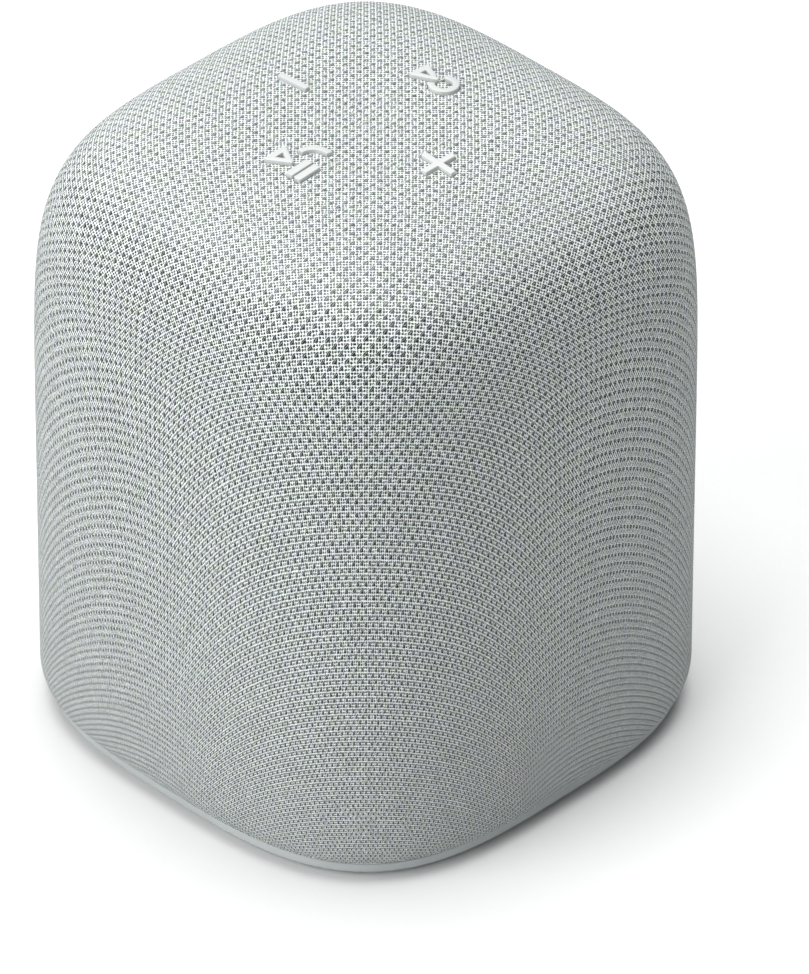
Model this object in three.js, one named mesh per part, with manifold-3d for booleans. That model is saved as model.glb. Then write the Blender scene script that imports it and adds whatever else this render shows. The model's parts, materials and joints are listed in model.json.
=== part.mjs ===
// A fabric-covered smart speaker: a rounded-square body on a plastic base with a rubber foot,
// four raised keys on the domed top, one front driver, two side radiators, boards and a battery.
// Millimetres, +Z up, the floor at Z = 0, the front towards -Y and the user's right towards +X.
import * as THREE from "three";
import { mergeVertices } from "three/addons/utils/BufferGeometryUtils.js";
import Module from "manifold-3d";

const wasm = await Module();
wasm.setup();

// ---------- Driving dimensions ----------

// The outer form. A level section is |x|^n + |y|^n = r^n, squarer at the crown than at the sides.
const bodyWidth = 92; // across the flats, the same both ways
const bodyHeight = 109.6; // floor to the crown of the fabric
const sideSquareness = 3.16;
const crownSquareness = 4.55;
const shoulderPower = 3.44; // how the width closes in over the shoulder
const domePower = 8.77; // how flat the dome is
const beltHeight = 23.8; // the sides stand upright below this height
const hemHeight = 3.3; // lower edge of the fabric
const hemInset = 1.9; // how far the fabric tucks in at the hem
const hemRise = 4.2; // height of that tuck

// Walls and clearances.
const gap = 0.3; // between neighbouring pieces
const fabricThickness = 0.9;
const shellThickness = 1.6;

// Base and foot.
const baseLift = 0.9; // floor to the underside of the base
const baseFloor = 3.0;
const baseWall = 2.0;
const baseRimTop = 13.0;
const bandRound = 0.6; // rounding under the visible band
const footInset = 7.5; // from the body's side in to the foot's
const footWidth = 7.0;
const footSink = 0.8; // how deep the foot sits in its groove

// Keys.
const keyRing = 15.4; // from the middle of the top to each key's middle
const keyBossRadius = 6.3;
const keyFlangeRadius = 7.8;
const keyFlangeThickness = 1.2;
const keyStemRadius = 2.0;
const keyStemLength = 2.1; // from the flange down to the switch plunger
const keyTravel = 0.5;
const iconRise = 0.67; // how far an icon stands above the fabric
const iconStroke = 1.1;

// Key switches and their board.
const plungerRadius = 1.1;
const plungerProud = 1.4;
const plungerSink = 0.9;
const switchSide = 6.0;
const switchHeight = 3.1;
const boardThickness = 1.2;
const keyBoardRoom = 8; // from the key board's edge to the shell
const chassisThickness = 2.8;

// Acoustic box.
const boxRoom = 11; // from the body's side to the box
const boxCornerLeast = 7.5; // rounder where the shell's corners come near
const boxCornerRoom = 1.0; // from the box's corner to the shell's, along each side
const boxWall = 2.6;
const boxHeadroom = 4; // from the box up to the main board
const lidBottom = 16;
const lidThickness = 2.5;
const gasketThickness = 0.8;
const gasketWidth = 2.2;
const basePostRadius = 4.0;
const boxPostRadius = 5.2;
const legInset = 6; // from the box's side to the chassis legs
const legSpread = 12;
const legRadius = 3.0;

// Screws.
const screwShank = 1.25;
const screwHead = 2.5;
const screwHeadHeight = 1.8;
const baseScrewLength = 24;
const wooferScrewLength = 8;

// Driver, along its own axis, with 0 at the box wall and plus towards the front.
const wooferMargin = 2.5; // least wall above and below the flange
const wooferScrewInset = 5;
const flangeLip = 2.9; // from the flange's edge to the basket's mouth
const flangeThickness = 1.4;
const surroundWidth = 4.1; // from the mouth to the cone
const coilShare = 0.35; // of the cone's radius
const coilThickness = 0.6;
const coneTravel = 2.0;
const magnetInset = 1.5; // inside the cone's edge
const magnetThickness = 8;
const topPlateThickness = 3;

// Side radiators.
const radiatorInset = 3.5; // its frame inside the driver flange's size
const radiatorFrameWidth = 3.5;
const radiatorSurroundWidth = 6.5;
const radiatorPlateThickness = 1.8;

// Rear connections, and the board that carries them.
const portPanelWidth = 27;
const portPanelHeight = 8;
const panelEar = 3; // how far its flange reaches past the opening at each end
const portHeight = 10.4; // floor to the middle of the panel
const socketX = -5.5;
const socketWidth = 8.94;
const socketHeight = 3.26;
const powerX = 7.5;
const powerRadius = 2.3;
const powerTravel = 0.5;
const portBoardInset = 11; // from the body's side to the port board
const portBoardMargin = 2.5; // its edge past the panel's opening

// Boards and battery.
const boardSideRoom = 12; // from the box's side to the main board's
const boardEndRoom = 7;
const boardRoom = 8.6; // from the main board up to the chassis
const batterySize = [50, 34, 8];

// ---------- Heights and insets that follow from them ----------

const half = bodyWidth / 2;
const shellOuter = fabricThickness + gap; // insets from the fabric's face
const shellInner = shellOuter + shellThickness;
const insideShell = shellInner + gap;
const footHalf = half - footInset;
const boxHalf = half - boxRoom;
const portBoardY = half - portBoardInset;
const baseTop = baseLift + baseFloor;
const grooveCeiling = baseLift + footSink + gap;
const footMiddle = footHalf - footWidth / 2;
const keySwitchStack = gap + switchHeight + plungerProud + gap; // board to stem
const keyBoardTop = keyFlangeTop() - keyFlangeThickness - keyStemLength - keySwitchStack;
const keyBoardHalf = halfWidthAt(keyBoardTop, insideShell) - keyBoardRoom;
const keyBoardBottom = keyBoardTop - boardThickness;
const chassisTop = keyBoardBottom - gap;
const chassisBottom = chassisTop - chassisThickness;
const switchBottom = keyBoardTop + gap;
const switchTop = switchBottom + switchHeight;
const plungerTop = switchTop + plungerProud;
const panelFace = half - 0.4;
const mainBoardSize = [2 * (boxHalf - boardSideRoom), 2 * (boxHalf - boardEndRoom)];
const mainBoardBottom = chassisBottom - boardRoom;
const boardCableY = mainBoardSize[1] / 2 - 4; // where the key board's cable rises
const boxTop = mainBoardBottom - boxHeadroom;
const boxBottom = lidBottom + lidThickness + gasketThickness + 2 * gap;
const boxCorner = Math.max(boxCornerLeast, cornerThatClears(boxHalf, boxTop, boxCornerRoom));
const wooferHeight = (boxBottom + boxTop) / 2;
const wallHalfHeight = (boxTop - boxBottom) / 2 - wooferMargin;
const wooferFlangeHalf = Math.min(boxHalf - boxCorner, wallHalfHeight);
const wooferScrewReach = wooferFlangeHalf - wooferScrewInset;
const basketMouth = wooferFlangeHalf - flangeLip;
const coneRadius = basketMouth - surroundWidth;
const coilRadius = coilShare * coneRadius;
const magnetRadius = coneRadius - magnetInset;
const radiatorFrameRadius = wooferFlangeHalf - radiatorInset;
const radiatorMouth = radiatorFrameRadius - radiatorFrameWidth;
const radiatorPlateRadius = radiatorMouth - radiatorSurroundWidth;

// ---------- Shapes ----------

// A closed geometry as a manifold solid; triangles that closed up on the axis are left out.
function solid(geometry) {
  const bare = geometry.index ? geometry.toNonIndexed() : geometry.clone();
  bare.deleteAttribute("normal");
  bare.deleteAttribute("uv");
  const merged = mergeVertices(bare, 1e-4);
  const index = merged.index.array;
  const kept = [];
  for (let i = 0; i < index.length; i += 3) {
    const [a, b, c] = [index[i], index[i + 1], index[i + 2]];
    if (a !== b && b !== c && c !== a) kept.push(a, b, c);
  }
  const mesh = new wasm.Mesh({
    numProp: 3,
    vertProperties: merged.attributes.position.array,
    triVerts: new Uint32Array(kept),
  });
  return new wasm.Manifold(mesh);
}

function joined(first, ...others) {
  return others.reduce((all, one) => all.add(one), first);
}

function cut(first, ...tools) {
  return tools.reduce((rest, tool) => rest.subtract(tool), first);
}

// A profile of [radius, height] points turned about Z, listed so that its faces point out.
function turned(profile, segments) {
  const area = profile.reduce((sum, [r, z], i) => {
    const [nextR, nextZ] = profile[(i + 1) % profile.length];
    return sum + r * nextZ - nextR * z;
  }, 0);
  const ordered = area > 0 ? profile : [...profile].reverse();
  const points = ordered.map(([r, z]) => new THREE.Vector2(Math.max(r, 0), z));
  return new THREE.LatheGeometry(points, segments).rotateX(Math.PI / 2);
}

// A ring or other profile clear of the axis, closed on itself and turned about Z.
function ring(profile, segments = 20) {
  return solid(turned([...profile, profile[0]], segments));
}

// A profile that starts and ends on the axis, turned about Z.
function spun(profile, segments = 20) {
  return solid(turned(profile, segments));
}

function squarenessAt(radius) {
  return sideSquareness + (crownSquareness - sideSquareness) * (1 - radius / half);
}

// The turned shape with its circles pulled out to the body's rounded-square sections.
function squared(profile, closed = false, segments = 32) {
  const geometry = turned(closed ? [...profile, profile[0]] : profile, segments);
  const position = geometry.attributes.position;
  for (let i = 0; i < position.count; i += 1) {
    const x = position.getX(i);
    const y = position.getY(i);
    const radius = Math.hypot(x, y);
    if (radius < 1e-6) continue;
    const n = squarenessAt(radius);
    const across = Math.abs(x / radius) ** n + Math.abs(y / radius) ** n;
    const stretch = across ** (-1 / n);
    position.setXY(i, x * stretch, y * stretch);
  }
  return solid(geometry);
}

function disc(radius, bottom, top, segments = 20) {
  const profile = [[0, bottom], [radius, bottom], [radius, top], [0, top]];
  return spun(profile, segments);
}

function block(width, depth, bottom, top) {
  const geometry = new THREE.BoxGeometry(width, depth, top - bottom);
  return solid(geometry.translate(0, 0, (bottom + top) / 2));
}

function prism(shape, bottom, top, curveSegments = 2) {
  const options = { depth: top - bottom, bevelEnabled: false, curveSegments };
  return new THREE.ExtrudeGeometry(shape, options).translate(0, 0, bottom);
}

function extruded(shape, bottom, top, curveSegments) {
  return solid(prism(shape, bottom, top, curveSegments));
}

function roundedRectangle(width, height, radius) {
  const x = width / 2 - radius;
  const y = height / 2 - radius;
  const shape = new THREE.Shape();
  shape.absarc(x, y, radius, 0, Math.PI / 2, false);
  shape.absarc(-x, y, radius, Math.PI / 2, Math.PI, false);
  shape.absarc(-x, -y, radius, Math.PI, 1.5 * Math.PI, false);
  shape.absarc(x, -y, radius, 1.5 * Math.PI, 2 * Math.PI, false);
  shape.closePath();
  return shape;
}

function roundedFrame(outer, inner, radius, bottom, top) {
  const body = extruded(roundedRectangle(2 * outer, 2 * outer, radius), bottom, top);
  const hole = roundedRectangle(2 * inner, 2 * inner, radius - outer + inner);
  return cut(body, extruded(hole, bottom - 1, top + 1));
}

function tube(points, radius, steps) {
  const route = new THREE.CatmullRomCurve3(points.map((p) => new THREE.Vector3(...p)));
  const section = new THREE.Shape().absarc(0, 0, radius, 0, 2 * Math.PI, false);
  const options = { steps, extrudePath: route, curveSegments: 3 };
  return solid(new THREE.ExtrudeGeometry(section, options));
}

const fourCorners = [[1, 1], [-1, 1], [-1, -1], [1, -1]];

// ---------- The outer form ----------

// Half-width at a height, on the surface that lies a given inset inside the fabric's face.
function halfWidthAt(z, inset) {
  const wide = half - inset;
  if (z > beltHeight) {
    const rise = (z - beltHeight) / (bodyHeight - inset - beltHeight);
    return wide * Math.max(1 - rise ** domePower, 0) ** (1 / shoulderPower);
  }
  const up = Math.min(Math.max((z - hemHeight) / hemRise, 0), 1);
  return wide - hemInset * (1 - Math.sqrt(1 - (1 - up) ** 2));
}

// How far out that surface stands on a side face, level with a point off its middle.
function faceAt(off, inset) {
  const wide = half - inset;
  const n = squarenessAt(wide);
  return wide * (1 - (off / wide) ** n) ** (1 / n);
}

// Height of that surface where its level section has the given half-width.
function heightAt(radius, inset) {
  const close = 1 - (radius / (half - inset)) ** shoulderPower;
  const top = bodyHeight - inset;
  return beltHeight + (top - beltHeight) * close ** (1 / domePower);
}

// The same height under or over any point of the top.
function domeHeight(x, y, inset) {
  let radius = Math.hypot(x, y);
  for (let pass = 0; pass < 4; pass += 1) {
    const n = squarenessAt(radius);
    radius = (Math.abs(x) ** n + Math.abs(y) ** n) ** (1 / n);
  }
  return heightAt(radius, inset);
}

const hemSteps = 2;
const crownSteps = 9;

// The upright profile of that surface, from the hem to the crown.
function formProfile(inset) {
  const points = [];
  for (let i = 0; i <= hemSteps; i += 1) {
    const z = hemHeight + hemRise * (1 - Math.cos((i / hemSteps) * (Math.PI / 2)));
    points.push([halfWidthAt(z, inset), z]);
  }
  points.push([half - inset, beltHeight]);
  for (let i = 1; i <= crownSteps; i += 1) {
    const turn = (i / crownSteps) * (Math.PI / 2);
    const radius = (half - inset) * Math.cos(turn) ** (2 / shoulderPower);
    const rise = Math.sin(turn) ** (2 / domePower);
    points.push([i < crownSteps ? radius : 0, beltHeight + (bodyHeight - inset - beltHeight) * rise]);
  }
  return points;
}

function domedSkin(outerInset, innerInset) {
  return squared([...formProfile(innerInset).reverse(), ...formProfile(outerInset)]);
}

// How far out along each axis a point on the diagonal of a section lies.
function diagonalReach(radius) {
  return radius * 2 ** (-1 / squarenessAt(radius));
}

// The corner radius that keeps a square piece clear of the shell's own corners at a height.
function cornerThatClears(side, z, room) {
  const shellCorner = diagonalReach(halfWidthAt(z, insideShell));
  return (side + room - shellCorner) / (1 - Math.SQRT1_2);
}

// ---------- Icons, about each key's middle ----------

function bar(width, height, x, y) {
  return { shape: roundedRectangle(width, height, 0.3), x, y, detail: 1 };
}

// An upright cross with two equal arms.
function cross(size, stroke, x, y) {
  const far = size / 2;
  const near = stroke / 2;
  const quarter = [[near, near], [near, far], [-near, far], [-near, near]];
  const corners = [0, 1, 2, 3].flatMap((turns) => quarter.slice(0, 3).map(([cornerX, cornerY]) => {
    const corner = new THREE.Vector2(cornerX, cornerY);
    return corner.rotateAround(new THREE.Vector2(), (turns * Math.PI) / 2);
  }));
  return { shape: new THREE.Shape(corners), x, y, detail: 1 };
}

// A triangle pointing to +X with rounded corners and a small matching hole.
function playTriangle(depth, height, x, y) {
  const shape = new THREE.Shape();
  const back = -depth / 2;
  const round = 0.5;
  shape.moveTo(back, -height / 2 + round);
  shape.lineTo(back, height / 2 - round);
  shape.quadraticCurveTo(back, height / 2, back + round, height / 2 - 0.6 * round);
  shape.lineTo(depth / 2 - round, 0.6 * round);
  shape.quadraticCurveTo(depth / 2, 0, depth / 2 - round, -0.6 * round);
  shape.lineTo(back + round, -height / 2 + 0.6 * round);
  shape.quadraticCurveTo(back, -height / 2, back, -height / 2 + round);
  const hole = new THREE.Path();
  const inner = back + iconStroke;
  const reach = (height / 2 - 1.5 * iconStroke) * 0.9;
  hole.moveTo(inner, -reach);
  hole.lineTo(depth / 2 - 1.7 * iconStroke, 0);
  hole.lineTo(inner, reach);
  shape.holes.push(hole);
  return { shape, x, y, detail: 2 };
}

// Part of a ring, from one angle round to another.
function brokenRing(outer, stroke, from, to, x, y) {
  const shape = new THREE.Shape();
  shape.absarc(0, 0, outer, from, to, false);
  shape.absarc(0, 0, outer - stroke, to, from, true);
  shape.closePath();
  return { shape, x, y, detail: 4 };
}

const triangleHeight = 5.0;
const handsetRadius = 3.5;
const plusSize = 6.6;
const minusSize = 6.2;
const pauseStroke = 1.4;
const pauseGap = 0.35;
const pauseLength = 4.6;
const pauseX = 2.4;

const triangle = playTriangle(4.3, triangleHeight, -2.0, -0.5);
const handset = brokenRing(handsetRadius, iconStroke, 0.42 * Math.PI, Math.PI, 1.6, 2.3);
const pauseStep = (pauseStroke + pauseGap) / 2;
const plus = cross(plusSize, iconStroke, 0.5, 0);
const minus = bar(minusSize, iconStroke, -0.5, 0);
const voiceTriangle = playTriangle(4.6, 4.6, -2.2, 0.7);
const voiceRing = brokenRing(2.5, iconStroke, -0.8 * Math.PI, 0.72 * Math.PI, 1.25, 0.55);

// What stands up on each key, and the openings it comes through in the fabric.
const icons = {
  play_call: {
    raised: [
      triangle,
      bar(pauseStroke, pauseLength, pauseX - pauseStep, -0.7),
      bar(pauseStroke, pauseLength, pauseX + pauseStep, -0.7),
      handset,
    ],
    openings: [
      triangle,
      bar(2 * pauseStroke + pauseGap, pauseLength, pauseX, -0.7),
      handset,
    ],
  },
  volume_up: { raised: [plus], openings: [plus] },
  volume_down: { raised: [minus], openings: [minus] },
  assistant: { raised: [voiceTriangle, voiceRing], openings: [voiceTriangle, voiceRing] },
};

const keyPlaces = {
  play_call: [0, -keyRing],
  volume_up: [keyRing, 0],
  volume_down: [-keyRing, 0],
  assistant: [0, keyRing],
};

// The openings as upright cutters, each a clearance bigger than what comes through it.
function iconCutters(name) {
  const [keyX, keyY] = keyPlaces[name];
  return icons[name].openings.map(({ shape, x, y, detail }) => {
    const outline = new THREE.Shape(grown(shape.getPoints(detail), gap));
    const cutter = extruded(outline, keyFlangeTop(), bodyHeight + 2 * iconRise, detail);
    return cutter.translate([keyX + x, keyY + y, 0]);
  });
}

// The raised shapes, from inside the key's boss up to a face that follows the dome.
function raisedIcon(name) {
  const [keyX, keyY] = keyPlaces[name];
  return icons[name].raised.map(({ shape, x, y, detail }) => {
    const geometry = prism(shape, keyFlangeTop(), bodyHeight, detail);
    geometry.translate(keyX + x, keyY + y, 0);
    const position = geometry.attributes.position;
    for (let i = 0; i < position.count; i += 1) {
      if (position.getZ(i) < bodyHeight - gap) continue;
      position.setZ(i, domeHeight(position.getX(i), position.getY(i), 0) + iconRise);
    }
    return solid(geometry);
  });
}

// An outline moved outwards by a clearance, corner by corner.
function grown(outline, clearance) {
  const points = outline.filter((p, i) => p.distanceTo(outline[(i + 1) % outline.length]) > 1e-3);
  const turn = THREE.ShapeUtils.area(points) > 0 ? 1 : -1;
  return points.map((point, i) => {
    const before = point.clone().sub(points[(i + points.length - 1) % points.length]).normalize();
    const after = points[(i + 1) % points.length].clone().sub(point).normalize();
    const out = new THREE.Vector2(before.y + after.y, -before.x - after.x);
    const spread = Math.max(out.lengthSq() / 2, 0.5);
    return point.clone().addScaledVector(out, (turn * clearance) / spread);
  });
}

function keyFlangeTop() {
  return heightAt(keyRing + keyFlangeRadius, shellInner) - gap;
}

// ---------- Materials ----------

function finish(color, roughness, metalness = 0) {
  return new THREE.MeshStandardMaterial({ color, roughness, metalness });
}

const fabric = finish(0xd6dad8, 0.95);
const whitePlastic = finish(0xe4e6e4, 0.6);
const greyPlastic = finish(0xc9ccca, 0.45);
const blackPlastic = finish(0x26282a, 0.7);
const rubber = finish(0x3a3c3e, 0.9);
const steel = finish(0x8f9498, 0.35, 0.9);
const aluminium = finish(0xb9bdc1, 0.4, 0.9);
const ferrite = finish(0x2b2b2d, 0.8);
const circuitBoard = finish(0x1e4a34, 0.6);
const diaphragm = finish(0x1f2022, 0.75);
const copper = finish(0xb5713a, 0.4, 0.9);
const clothSpider = finish(0xb98a3c, 0.9);
const clearPlastic = finish(0xf2f4f4, 0.3);
const cellWrap = finish(0x3460a0, 0.5);

const speaker = new THREE.Group();

function add(name, shape, material) {
  const mesh = shape.getMesh();
  const vertices = new Float32Array(mesh.numVert * 3);
  for (let i = 0; i < mesh.numVert; i += 1) {
    const start = i * mesh.numProp;
    vertices.set(mesh.vertProperties.subarray(start, start + 3), i * 3);
  }
  const geometry = new THREE.BufferGeometry();
  geometry.setAttribute("position", new THREE.BufferAttribute(vertices, 3));
  geometry.setIndex(new THREE.BufferAttribute(mesh.triVerts, 1));
  geometry.computeVertexNormals();
  const part = new THREE.Mesh(geometry, material);
  part.name = name;
  speaker.add(part);
}

// ---------- Outer skin ----------

function rearOpening(clearance) {
  const width = portPanelWidth + 2 * clearance;
  const height = portPanelHeight + 2 * clearance;
  const shape = roundedRectangle(width, height, height / 2 - 0.01);
  const through = extruded(shape, -half - 5, -half + 12);
  return through.rotate([90, 0, 0]).translate([0, 0, portHeight]);
}

function addFabricSleeve() {
  const skin = domedSkin(0, fabricThickness);
  const cutters = Object.keys(icons).flatMap(iconCutters);
  add("fabric_sleeve", cut(skin, ...cutters, rearOpening(gap)), fabric);
}

const slotWidth = 3;
const slotPitch = 11;
const slotsBesideMiddle = 2;
const slotBottom = beltHeight + 2.2;
const slotTop = boxTop - 4;

function addGrilleShell() {
  const bosses = Object.values(keyPlaces).map(([x, y]) => {
    const hole = disc(keyBossRadius + gap, bodyHeight - 15, bodyHeight + 5);
    return hole.translate([x, y, 0]);
  });
  const slots = [];
  for (let side = 0; side < 4; side += 1) {
    for (let i = -slotsBesideMiddle; i <= slotsBesideMiddle; i += 1) {
      const slot = block(slotWidth, 12, slotBottom, slotTop);
      slots.push(slot.translate([i * slotPitch, half, 0]).rotate([0, 0, 90 * side]));
    }
  }
  const shell = domedSkin(shellOuter, shellInner);
  add("grille_shell", cut(shell, ...bosses, ...slots, rearOpening(gap)), blackPlastic);
}

// ---------- Base and foot ----------

const screwReach = diagonalReach(footMiddle);

function basePlaces() {
  return fourCorners.map(([x, y]) => [x * screwReach, y * screwReach]);
}

function addBase() {
  const band = halfWidthAt(hemHeight, 0);
  const step = hemHeight - gap;
  const rim = half - insideShell;
  const profile = [
    [0, baseLift],
    [band - bandRound, baseLift],
    [band - 0.3 * bandRound, baseLift + 0.3 * bandRound],
    [band, baseLift + bandRound],
    [band, step],
    [halfWidthAt(hemHeight, insideShell), step],
    [halfWidthAt(hemHeight + hemRise / 3, insideShell), hemHeight + hemRise / 3],
    [rim, hemHeight + hemRise],
    [rim, baseRimTop],
    [rim - baseWall, baseRimTop],
    [rim - baseWall, hemHeight + hemRise],
    [rim - baseWall - hemInset, baseTop],
    [0, baseTop],
  ];
  const groove = squared([
    [footHalf + gap, baseLift - 1],
    [footHalf + gap, grooveCeiling],
    [footHalf - footWidth - gap, grooveCeiling],
    [footHalf - footWidth - gap, baseLift - 1],
  ], true);
  const posts = basePlaces().map(([x, y]) => {
    return disc(basePostRadius, baseTop - 1, lidBottom - gap, 10).translate([x, y, 0]);
  });
  const holes = basePlaces().map(([x, y]) => {
    const headRoom = disc(screwHead + gap, baseLift, grooveCeiling + screwHeadHeight + 2 * gap, 10);
    const shankRoom = disc(screwShank + gap, baseLift, lidBottom, 10);
    return joined(headRoom, shankRoom).translate([x, y, 0]);
  });
  const notch = block(portPanelWidth + 12, 20, portHeight - portPanelHeight / 2 - 1, baseRimTop + 1);
  const body = cut(squared(profile), groove, notch.translate([0, half, 0]));
  add("base_cup", cut(joined(body, ...posts), ...holes), greyPlastic);
}

function addFoot() {
  const outer = footHalf;
  const inner = footHalf - footWidth;
  const round = 0.5;
  const profile = [
    [inner + round, 0],
    [outer - round, 0],
    [outer, round],
    [outer, baseLift + footSink],
    [inner, baseLift + footSink],
    [inner, round],
  ];
  add("foot_ring", squared(profile, true), rubber);
}

// ---------- Screws ----------

// Pointing up from its head.
function screw(length) {
  const profile = [
    [0, 0],
    [screwHead, 0],
    [screwHead, screwHeadHeight],
    [screwShank, screwHeadHeight],
    [screwShank, length],
    [0, length],
  ];
  return spun(profile, 8);
}

function addScrews() {
  basePlaces().forEach(([x, y], i) => {
    const bottom = grooveCeiling + gap;
    add(`base_screw_${i + 1}`, screw(baseScrewLength).translate([x, y, bottom]), steel);
  });
  fourCorners.forEach(([x, z], i) => {
    const front = -boxHalf - 3 * gap - flangeThickness - gasketThickness - screwHeadHeight;
    const placed = screw(wooferScrewLength).rotate([-90, 0, 0]);
    const at = [x * wooferScrewReach, front, wooferHeight + z * wooferScrewReach];
    add(`woofer_screw_${i + 1}`, placed.translate(at), steel);
  });
}

// ---------- Acoustic box ----------

// Turned about its own axis and stood on the front wall, facing -Y.
function onFront(shape) {
  return shape.rotate([90, 0, 0]).translate([0, -boxHalf, wooferHeight]);
}

// The same on a side wall: side is -1 on the left and 1 on the right.
function onSide(shape, side) {
  return shape.rotate([0, 90 * side, 0]).translate([side * boxHalf, 0, wooferHeight]);
}

const grommet = [-14, 9 - boxHalf];

function addAcousticBox() {
  const outline = roundedRectangle(2 * boxHalf, 2 * boxHalf, boxCorner);
  const inside = 2 * (boxHalf - boxWall);
  const hollow = roundedRectangle(inside, inside, boxCorner - boxWall);
  const walls = cut(
    extruded(outline, boxBottom, boxTop),
    extruded(hollow, boxBottom - 1, boxTop - boxWall),
  );
  const threadTop = grooveCeiling + gap + baseScrewLength + 2 * gap;
  const posts = basePlaces().map(([x, y]) => {
    return disc(boxPostRadius, boxBottom + 1, threadTop + 2, 10).translate([x, y, 0]);
  });
  const threads = basePlaces().map(([x, y]) => {
    return disc(screwShank + gap, boxBottom - 1, threadTop, 10).translate([x, y, 0]);
  });
  const boardBosses = fourCorners.map(([x, y]) => {
    const at = [x * (mainBoardSize[0] / 2 - 5), y * (mainBoardSize[1] / 2 - 6), 0];
    return disc(2.5, boxTop - 1, mainBoardBottom - gap, 8).translate(at);
  });
  const bossDepth = wooferScrewLength + 1;
  const bosses = fourCorners.map(([x, y]) => {
    const boss = disc(3, -bossDepth, -boxWall / 2, 8);
    return onFront(boss.translate([x * wooferScrewReach, y * wooferScrewReach, 0]));
  });
  const pilots = fourCorners.map(([x, y]) => {
    const pilot = disc(screwShank + gap, -bossDepth + 1, 1, 8);
    return onFront(pilot.translate([x * wooferScrewReach, y * wooferScrewReach, 0]));
  });
  const mouth = onFront(disc(basketMouth + gap, -boxWall - 1, 1, 28));
  const sides = [-1, 1].map((side) => onSide(disc(radiatorMouth, -boxWall - 1, 1, 28), side));
  const wireHole = disc(1.6, boxTop - boxWall - 1, boxTop + 1, 8).translate([...grommet, 0]);
  const solidBox = joined(walls, ...posts, ...boardBosses, ...bosses);
  add("acoustic_box", cut(solidBox, ...threads, ...pilots, mouth, ...sides, wireHole), blackPlastic);
}

function addLid() {
  const outline = roundedRectangle(2 * boxHalf, 2 * boxHalf, boxCorner);
  const plate = extruded(outline, lidBottom, lidBottom + lidThickness);
  const holes = basePlaces().map(([x, y]) => {
    return disc(screwShank + gap, lidBottom - 1, lidBottom + lidThickness + 1, 10).translate([x, y, 0]);
  });
  add("acoustic_lid", cut(plate, ...holes), blackPlastic);
  const sealBottom = lidBottom + lidThickness + gap;
  const seal = roundedFrame(boxHalf - gap, boxHalf - gap - gasketWidth, boxCorner - gap,
    sealBottom, sealBottom + gasketThickness);
  add("lid_gasket", cut(seal, ...holes.map((hole) => hole.translate([0, 0, 1]))), rubber);
}

// ---------- Driver ----------

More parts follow.
